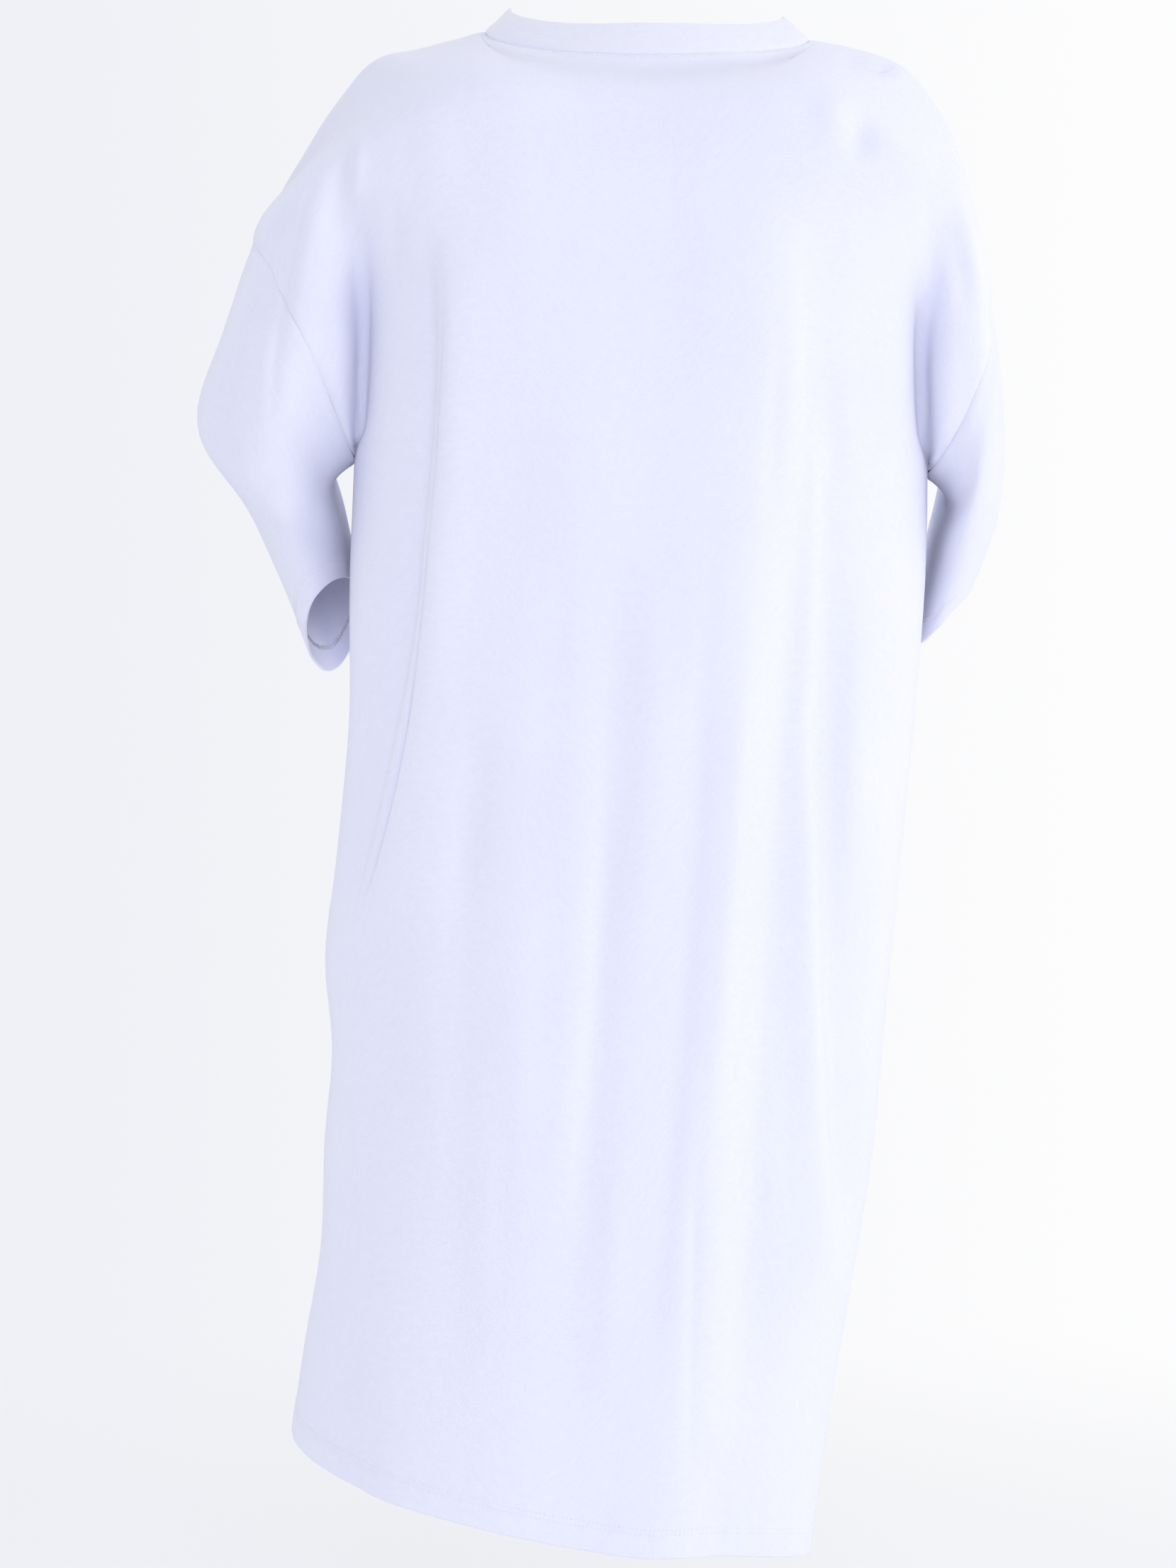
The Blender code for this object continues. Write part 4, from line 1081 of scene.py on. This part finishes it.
def noise_value(tree, vector, scale, detail, roughness=0.5):
    node = tree.nodes.new("ShaderNodeTexNoise")
    given = {"Vector": vector, "Scale": scale, "Detail": detail, "Roughness": roughness}
    for name, setting in given.items():
        feed(tree, node.inputs[name], setting)
    return node.outputs["Fac"]


def jersey_knit_group():
    """Columns of knitted loops: each loop is two legs that lean to a point."""
    group, given, result = new_group(
        "jersey_knit",
        [("Place", "NodeSocketVector", None), ("Wale", "NodeSocketFloat", 0.00075),
         ("Course", "NodeSocketFloat", 0.00062)],
        [("Height", "NodeSocketFloat"), ("Hollow", "NodeSocketFloat")])
    across, down, _ = split(group, given.outputs["Place"])
    x = maths(group, "DIVIDE", across, given.outputs["Wale"])
    y = maths(group, "DIVIDE", down, given.outputs["Course"])
    rib = maths(group, "ABSOLUTE", maths(group, "SINE", maths(group, "MULTIPLY", x, math.pi)))
    lean = maths(group, "ABSOLUTE", maths(group, "SUBTRACT", maths(group, "FRACT", x), 0.5))
    turn = maths(group, "MULTIPLY", maths(group, "ADD", y, lean), 2 * math.pi)
    loop = maths(group, "MULTIPLY_ADD", maths(group, "SINE", turn), 0.28, 0.72)
    height = maths(group, "MULTIPLY", maths(group, "POWER", rib, 0.7), loop)
    group.links.new(height, result.inputs["Height"])
    group.links.new(maths(group, "SUBTRACT", 1.0, height), result.inputs["Hollow"])
    return group


def cotton_slub_group():
    """Thick and thin places in cotton yarn, as short streaks across the cloth."""
    group, given, result = new_group(
        "cotton_slub",
        [("Place", "NodeSocketVector", None), ("Long", "NodeSocketFloat", 0.0024),
         ("Thick", "NodeSocketFloat", 0.0009)],
        [("Streak", "NodeSocketFloat"), ("Mottle", "NodeSocketFloat")])
    across, down, _ = split(group, given.outputs["Place"])
    x = maths(group, "DIVIDE", across, given.outputs["Long"])
    y = maths(group, "DIVIDE", down, given.outputs["Thick"])
    streak = noise_value(group, joined_vector(group, x, y), 1.0, 2.0, 0.6)
    wide = joined_vector(group, maths(group, "DIVIDE", x, 3.2), maths(group, "DIVIDE", y, 5.0))
    group.links.new(streak, result.inputs["Streak"])
    group.links.new(noise_value(group, wide, 1.0, 3.0, 0.55), result.inputs["Mottle"])
    return group


def worn_soft_group():
    """Broad, faint changes where cloth has been handled and pressed, and its fine fuzz."""
    group, given, result = new_group(
        "worn_soft", [("Place", "NodeSocketVector", None), ("Size", "NodeSocketFloat", 9.0)],
        [("Shade", "NodeSocketFloat"), ("Fuzz", "NodeSocketFloat")])
    shade = noise_value(group, given.outputs["Place"], given.outputs["Size"], 2.0)
    group.links.new(shade, result.inputs["Shade"])
    group.links.new(noise_value(group, given.outputs["Place"], 1400.0, 2.0, 0.7), result.inputs["Fuzz"])
    return group


def use_group(tree, group, **values):
    """A group node placed in a material; values are numbers or sockets by input name."""
    node = tree.nodes.new("ShaderNodeGroup")
    node.node_tree = group
    for name, value in values.items():
        feed(tree, node.inputs[name], value)
    return node.outputs


def new_material(name):
    mat = bpy.data.materials.new(name)
    mat.use_nodes = True
    tree = mat.node_tree
    return mat, tree, tree.nodes["Principled BSDF"]


def cloth_places(tree):
    """Place on the cloth in metres, and place in the dress."""
    cloth = tree.nodes.new("ShaderNodeUVMap")
    cloth.uv_map = "cloth"
    return cloth.outputs["UV"], tree.nodes.new("ShaderNodeTexCoord").outputs["Object"]


def mixed_colour(tree, part, dark, light):
    """One colour to another by part, a socket from 0 to 1."""
    node = tree.nodes.new("ShaderNodeMix")
    node.data_type = "RGBA"
    tree.links.new(part, node.inputs["Factor"])
    for socket, colour in zip([s for s in node.inputs if s.type == "RGBA"], (dark, light)):
        socket.default_value = (*colour, 1.0)
    return [s for s in node.outputs if s.type == "RGBA"][0]


def bumped(tree, shader, height, strength, distance):
    node = tree.nodes.new("ShaderNodeBump")
    node.inputs["Strength"].default_value = strength
    node.inputs["Distance"].default_value = distance
    tree.links.new(height, node.inputs["Height"])
    tree.links.new(node.outputs["Normal"], shader.inputs["Normal"])


def jersey(name, groups, shade, light, bump):
    """White cotton jersey: knitted loops, slubby yarn and a soft, matt, slightly furry face. Its colour
    has painted shade in the hollows between the loops.
    """
    mat, tree, shader = new_material(name)
    cloth, spot = cloth_places(tree)
    knit = use_group(tree, groups["knit"], Place=cloth, Wale=WALE, Course=COURSE)
    slub = use_group(tree, groups["slub"], Place=cloth)
    worn = use_group(tree, groups["worn"], Place=spot)
    # colour mix: the yarn's slub streaks and mottle, broad worn patches, and the knit's loop height,
    # which paints shade into the hollows between the loops
    part = summed(tree, -0.595, (slub["Streak"], 0.825), (slub["Mottle"], 0.675),
                  (worn["Shade"], 0.45), (knit["Height"], 0.30))
    clamp = tree.nodes.new("ShaderNodeClamp")
    tree.links.new(part, clamp.inputs["Value"])
    tree.links.new(mixed_colour(tree, clamp.outputs[0], shade, light), shader.inputs["Base Color"])
    tree.links.new(summed(tree, 0.80, (worn["Fuzz"], 0.14)), shader.inputs["Roughness"])
    shader.inputs["Specular IOR Level"].default_value = 0.25
    shader.inputs["Sheen Weight"].default_value = 0.32
    shader.inputs["Sheen Roughness"].default_value = 0.55
    height = summed(tree, 0.0, (knit["Height"], 0.55), (slub["Streak"], 0.35), (worn["Fuzz"], 0.10))
    bumped(tree, shader, height, bump, 0.0003)
    return mat


def sewing_thread(groups):
    """White two-ply thread: its twist shows as fine slanted bands, in its bump and as painted shade in
    the colour of its grooves.
    """
    mat, tree, shader = new_material("sewing_thread")
    cloth, spot = cloth_places(tree)
    along, side, _ = split(tree, cloth)
    worn = use_group(tree, groups["worn"], Place=spot)
    twist = maths(tree, "SINE", summed(tree, 0.0, (along, 9000.0), (side, 2000.0 * math.pi)))
    # colour darker in the twist's grooves as painted shade, and flecked by the thread's fuzz
    part = summed(tree, 0.25, (twist, 0.25), (worn["Fuzz"], 0.5))
    tree.links.new(mixed_colour(tree, part, *THREAD_COLOURS), shader.inputs["Base Color"])
    tree.links.new(summed(tree, 0.45, (worn["Fuzz"], 0.20)), shader.inputs["Roughness"])
    shader.inputs["Sheen Weight"].default_value = 0.1
    bumped(tree, shader, twist, 0.5, 0.00008)
    return mat


def floor_material():
    """Plain pale floor that thins out far from the dress, so it has no hard horizon."""
    mat, tree, shader = new_material("studio_floor")
    shader.inputs["Base Color"].default_value = (0.93, 0.935, 0.95, 1.0)
    shader.inputs["Roughness"].default_value = 0.95
    x, y, _ = split(tree, tree.nodes.new("ShaderNodeTexCoord").outputs["Object"])
    away = maths(tree, "SQRT", maths(tree, "MULTIPLY_ADD", x, x, maths(tree, "MULTIPLY", y, y)))
    tree.links.new(eased(tree, away, 0.6, 3.2, 1.0, 0.0), shader.inputs["Alpha"])
    return mat


# Making the dress

def folded_grids():
    """Every piece's points and normals, with its folds, creases, seams and hems."""
    grids = panels()
    grids["sleeve_left"] = sleeve("left", grids)
    grids["sleeve_right"] = sleeve("right", grids)
    grids["neckband"] = neckband(grids)
    closed = {name: name not in ("back", "front") for name in grids}
    for name, grid in grids.items():
        normals = shared_normals({name: grid}, closed)[name]
        centre = grid.mean(axis=1, keepdims=True) if closed[name] else vec((0.0, 0.0, 0.0))
        if (normals * (grid - centre) * vec((1.0, 1.0, 0.2 if closed[name] else 0.0))).sum() < 0:
            grid = grid[:, ::-1]
        grids[name] = relaxed(grid, closed[name])
    normals = shared_normals(grids, closed)
    for name in grids:
        if name != "neckband":
            grids[name] = grids[name] + normals[name] * fold_height(grids[name], normals[name])[..., None]
    normals = shared_normals(grids, closed)
    for name, grid in grids.items():
        height = crumple(grid) + sewn_height(name, grid, closed[name])
        if name != "neckband":
            height += crease_height(grid, normals[name])
        grids[name] = grid + normals[name] * height[..., None]
    return grids, shared_normals(grids, closed), closed


def make_cloth(grids, normals, closed, materials):
    """The five sewn pieces as thin shells, each in the place of its solid."""
    made = {}
    for name, grid in grids.items():
        rows = grid.shape[0]
        band = name == "neckband"
        outward = np.full(rows, BAND_CLOTH / 2 if band else CLOTH / 2)
        inward = outward.copy()
        if band:
            outward[:3] = inward[:3] = (CLOTH * 0.5, CLOTH * 0.8, BAND_CLOTH * 0.45)
        hem = None if band else HEM_TURN
        shell = cloth_shell(grid, normals[name], closed[name], hem, outward, inward)
        made[name] = new_piece(name + "_cloth", *shell, materials["band" if band else "jersey"],
                               "white_jersey_band" if band else "white_jersey", name)
    return made


def make_stitching(grids, normals, closed, materials):
    """Twin-needle rows on the hems and the row under the neckband, with the loopers inside."""
    made = {}
    for name in ("back", "front", "sleeve_left", "sleeve_right"):
        rows = [line_at(grids[name], normals[name], "bottom", up) for up in STITCH_ROWS]
        runs = [stitch_run(line, ways, CLOTH / 2 - THREAD * 0.2, closed[name]) for line, ways in rows]
        made[name + "_hem_stitching"] = joined(runs)
        lines = [line for line, ways in rows]
        made[name + "_hem_looper"] = looper_run(lines, rows[0][1], HEM_LAYER + CLOTH / 2, closed[name])
    neck = []
    for name in ("back", "front"):
        middle, reach = grids[name].shape[1] // 2, NECK_COLUMNS[name] - 1
        part = slice(middle - reach, middle + reach + 1)
        line, ways = line_at(grids[name][:, part], normals[name][:, part], "top", BAND_STITCH)
        neck.append(stitch_run(line, ways, CLOTH / 2 - THREAD * 0.2, False, 0.002))
    made["neck_stitching"] = joined(neck)
    return {name: new_piece(name, *mesh, materials["thread"], "white_jersey", sharp=False)
            for name, mesh in made.items()}


def make_materials():
    groups = {"knit": jersey_knit_group(), "slub": cotton_slub_group(), "worn": worn_soft_group()}
    return {
        "jersey": jersey("white_jersey", groups, *JERSEY_COLOURS, 0.55),
        "band": jersey("white_jersey_band", groups, *BAND_COLOURS, 0.5),
        "thread": sewing_thread(groups),
    }


# Studio

CAMERA_PLACE = (0.0389, 2.5, -0.5413)
PICTURE_HEIGHT = 1.13918     # what the picture spans at the dress's middle, in metres
SENSOR = 36.0
PICTURE_SIZE = (1659, 2212)
FLOOR_HEIGHT = -1.42         # well below the hem
FLOOR_REACH = 6.0
SKY_COLOURS = (0.865, 0.872, 0.915), (0.985, 0.985, 0.990)      # picture's left, then right
SKY_DIMMED = -0.42
SKY_SIDES = 0.26
# name, place, what it points at, size, power in watts, colour
LIGHTS = [
    ("side_light", (-2.6, 1.7, 0.4), (0.0, 0.0, -0.45), 1.0, 15.0, (1.0, 0.985, 0.96)),
    ("front_light", (-0.15, 3.0, 0.1), (0.0, 0.0, -0.50), 0.7, 22.0, (0.96, 0.97, 1.0)),
]


def make_camera():
    data = bpy.data.cameras.new("camera")
    data.sensor_fit = "VERTICAL"
    data.sensor_height = SENSOR
    data.sensor_width = SENSOR * PICTURE_SIZE[0] / PICTURE_SIZE[1]
    data.lens = SENSOR * CAMERA_PLACE[1] / PICTURE_HEIGHT
    data.clip_end = 60.0
    camera = bpy.data.objects.new("camera", data)
    camera.location = CAMERA_PLACE
    camera.rotation_euler = (math.pi / 2, 0.0, math.pi)
    bpy.context.scene.collection.objects.link(camera)
    bpy.context.scene.camera = camera


def make_light(name, place, target, size, power, colour):
    data = bpy.data.lights.new(name, "AREA")
    data.size = size
    data.energy = power
    data.color = colour
    lamp = bpy.data.objects.new(name, data)
    lamp.location = place
    lamp.rotation_euler = (Vector(target) - Vector(place)).to_track_quat("-Z", "Y").to_euler()
    bpy.context.scene.collection.objects.link(lamp)


def make_studio():
    """Pale floor, bright soft surroundings, and two soft lights, one from the picture's right
    and one from near the camera."""
    world = bpy.data.worlds.new("studio")
    world.use_nodes = True
    tree = world.node_tree
    sky = tree.nodes["Background"]
    x, y, _ = split(tree, tree.nodes.new("ShaderNodeTexCoord").outputs["Generated"])
    tint = mixed_colour(tree, eased(tree, x, 0.22, -0.22), *SKY_COLOURS)
    tree.links.new(tint, sky.inputs["Color"])
    # dimmer on the camera's side, brighter to both sides of the dress
    power = summed(tree, 1.0, (eased(tree, y, -0.3, 0.9), SKY_DIMMED),
                   (eased(tree, maths(tree, "ABSOLUTE", x), 0.35, 0.95), SKY_SIDES))
    tree.links.new(power, sky.inputs["Strength"])
    bpy.context.scene.world = world
    for light in LIGHTS:
        make_light(*light)
    mesh = bpy.data.meshes.new("floor")
    corners = [(x * FLOOR_REACH, y * FLOOR_REACH, FLOOR_HEIGHT)
               for x, y in ((-1, -1), (1, -1), (1, 1), (-1, 1))]
    mesh.from_pydata(corners, [], [(0, 1, 2, 3)])
    floor = bpy.data.objects.new("floor", mesh)
    bpy.context.scene.collection.objects.link(floor)
    mesh.materials.append(floor_material())
    bpy.context.scene.view_settings.view_transform = "Standard"


grids, normals, closed = folded_grids()
materials = make_materials()
cloth = make_cloth(grids, normals, closed, materials)
stitching = make_stitching(grids, normals, closed, materials)
make_camera()
make_studio()
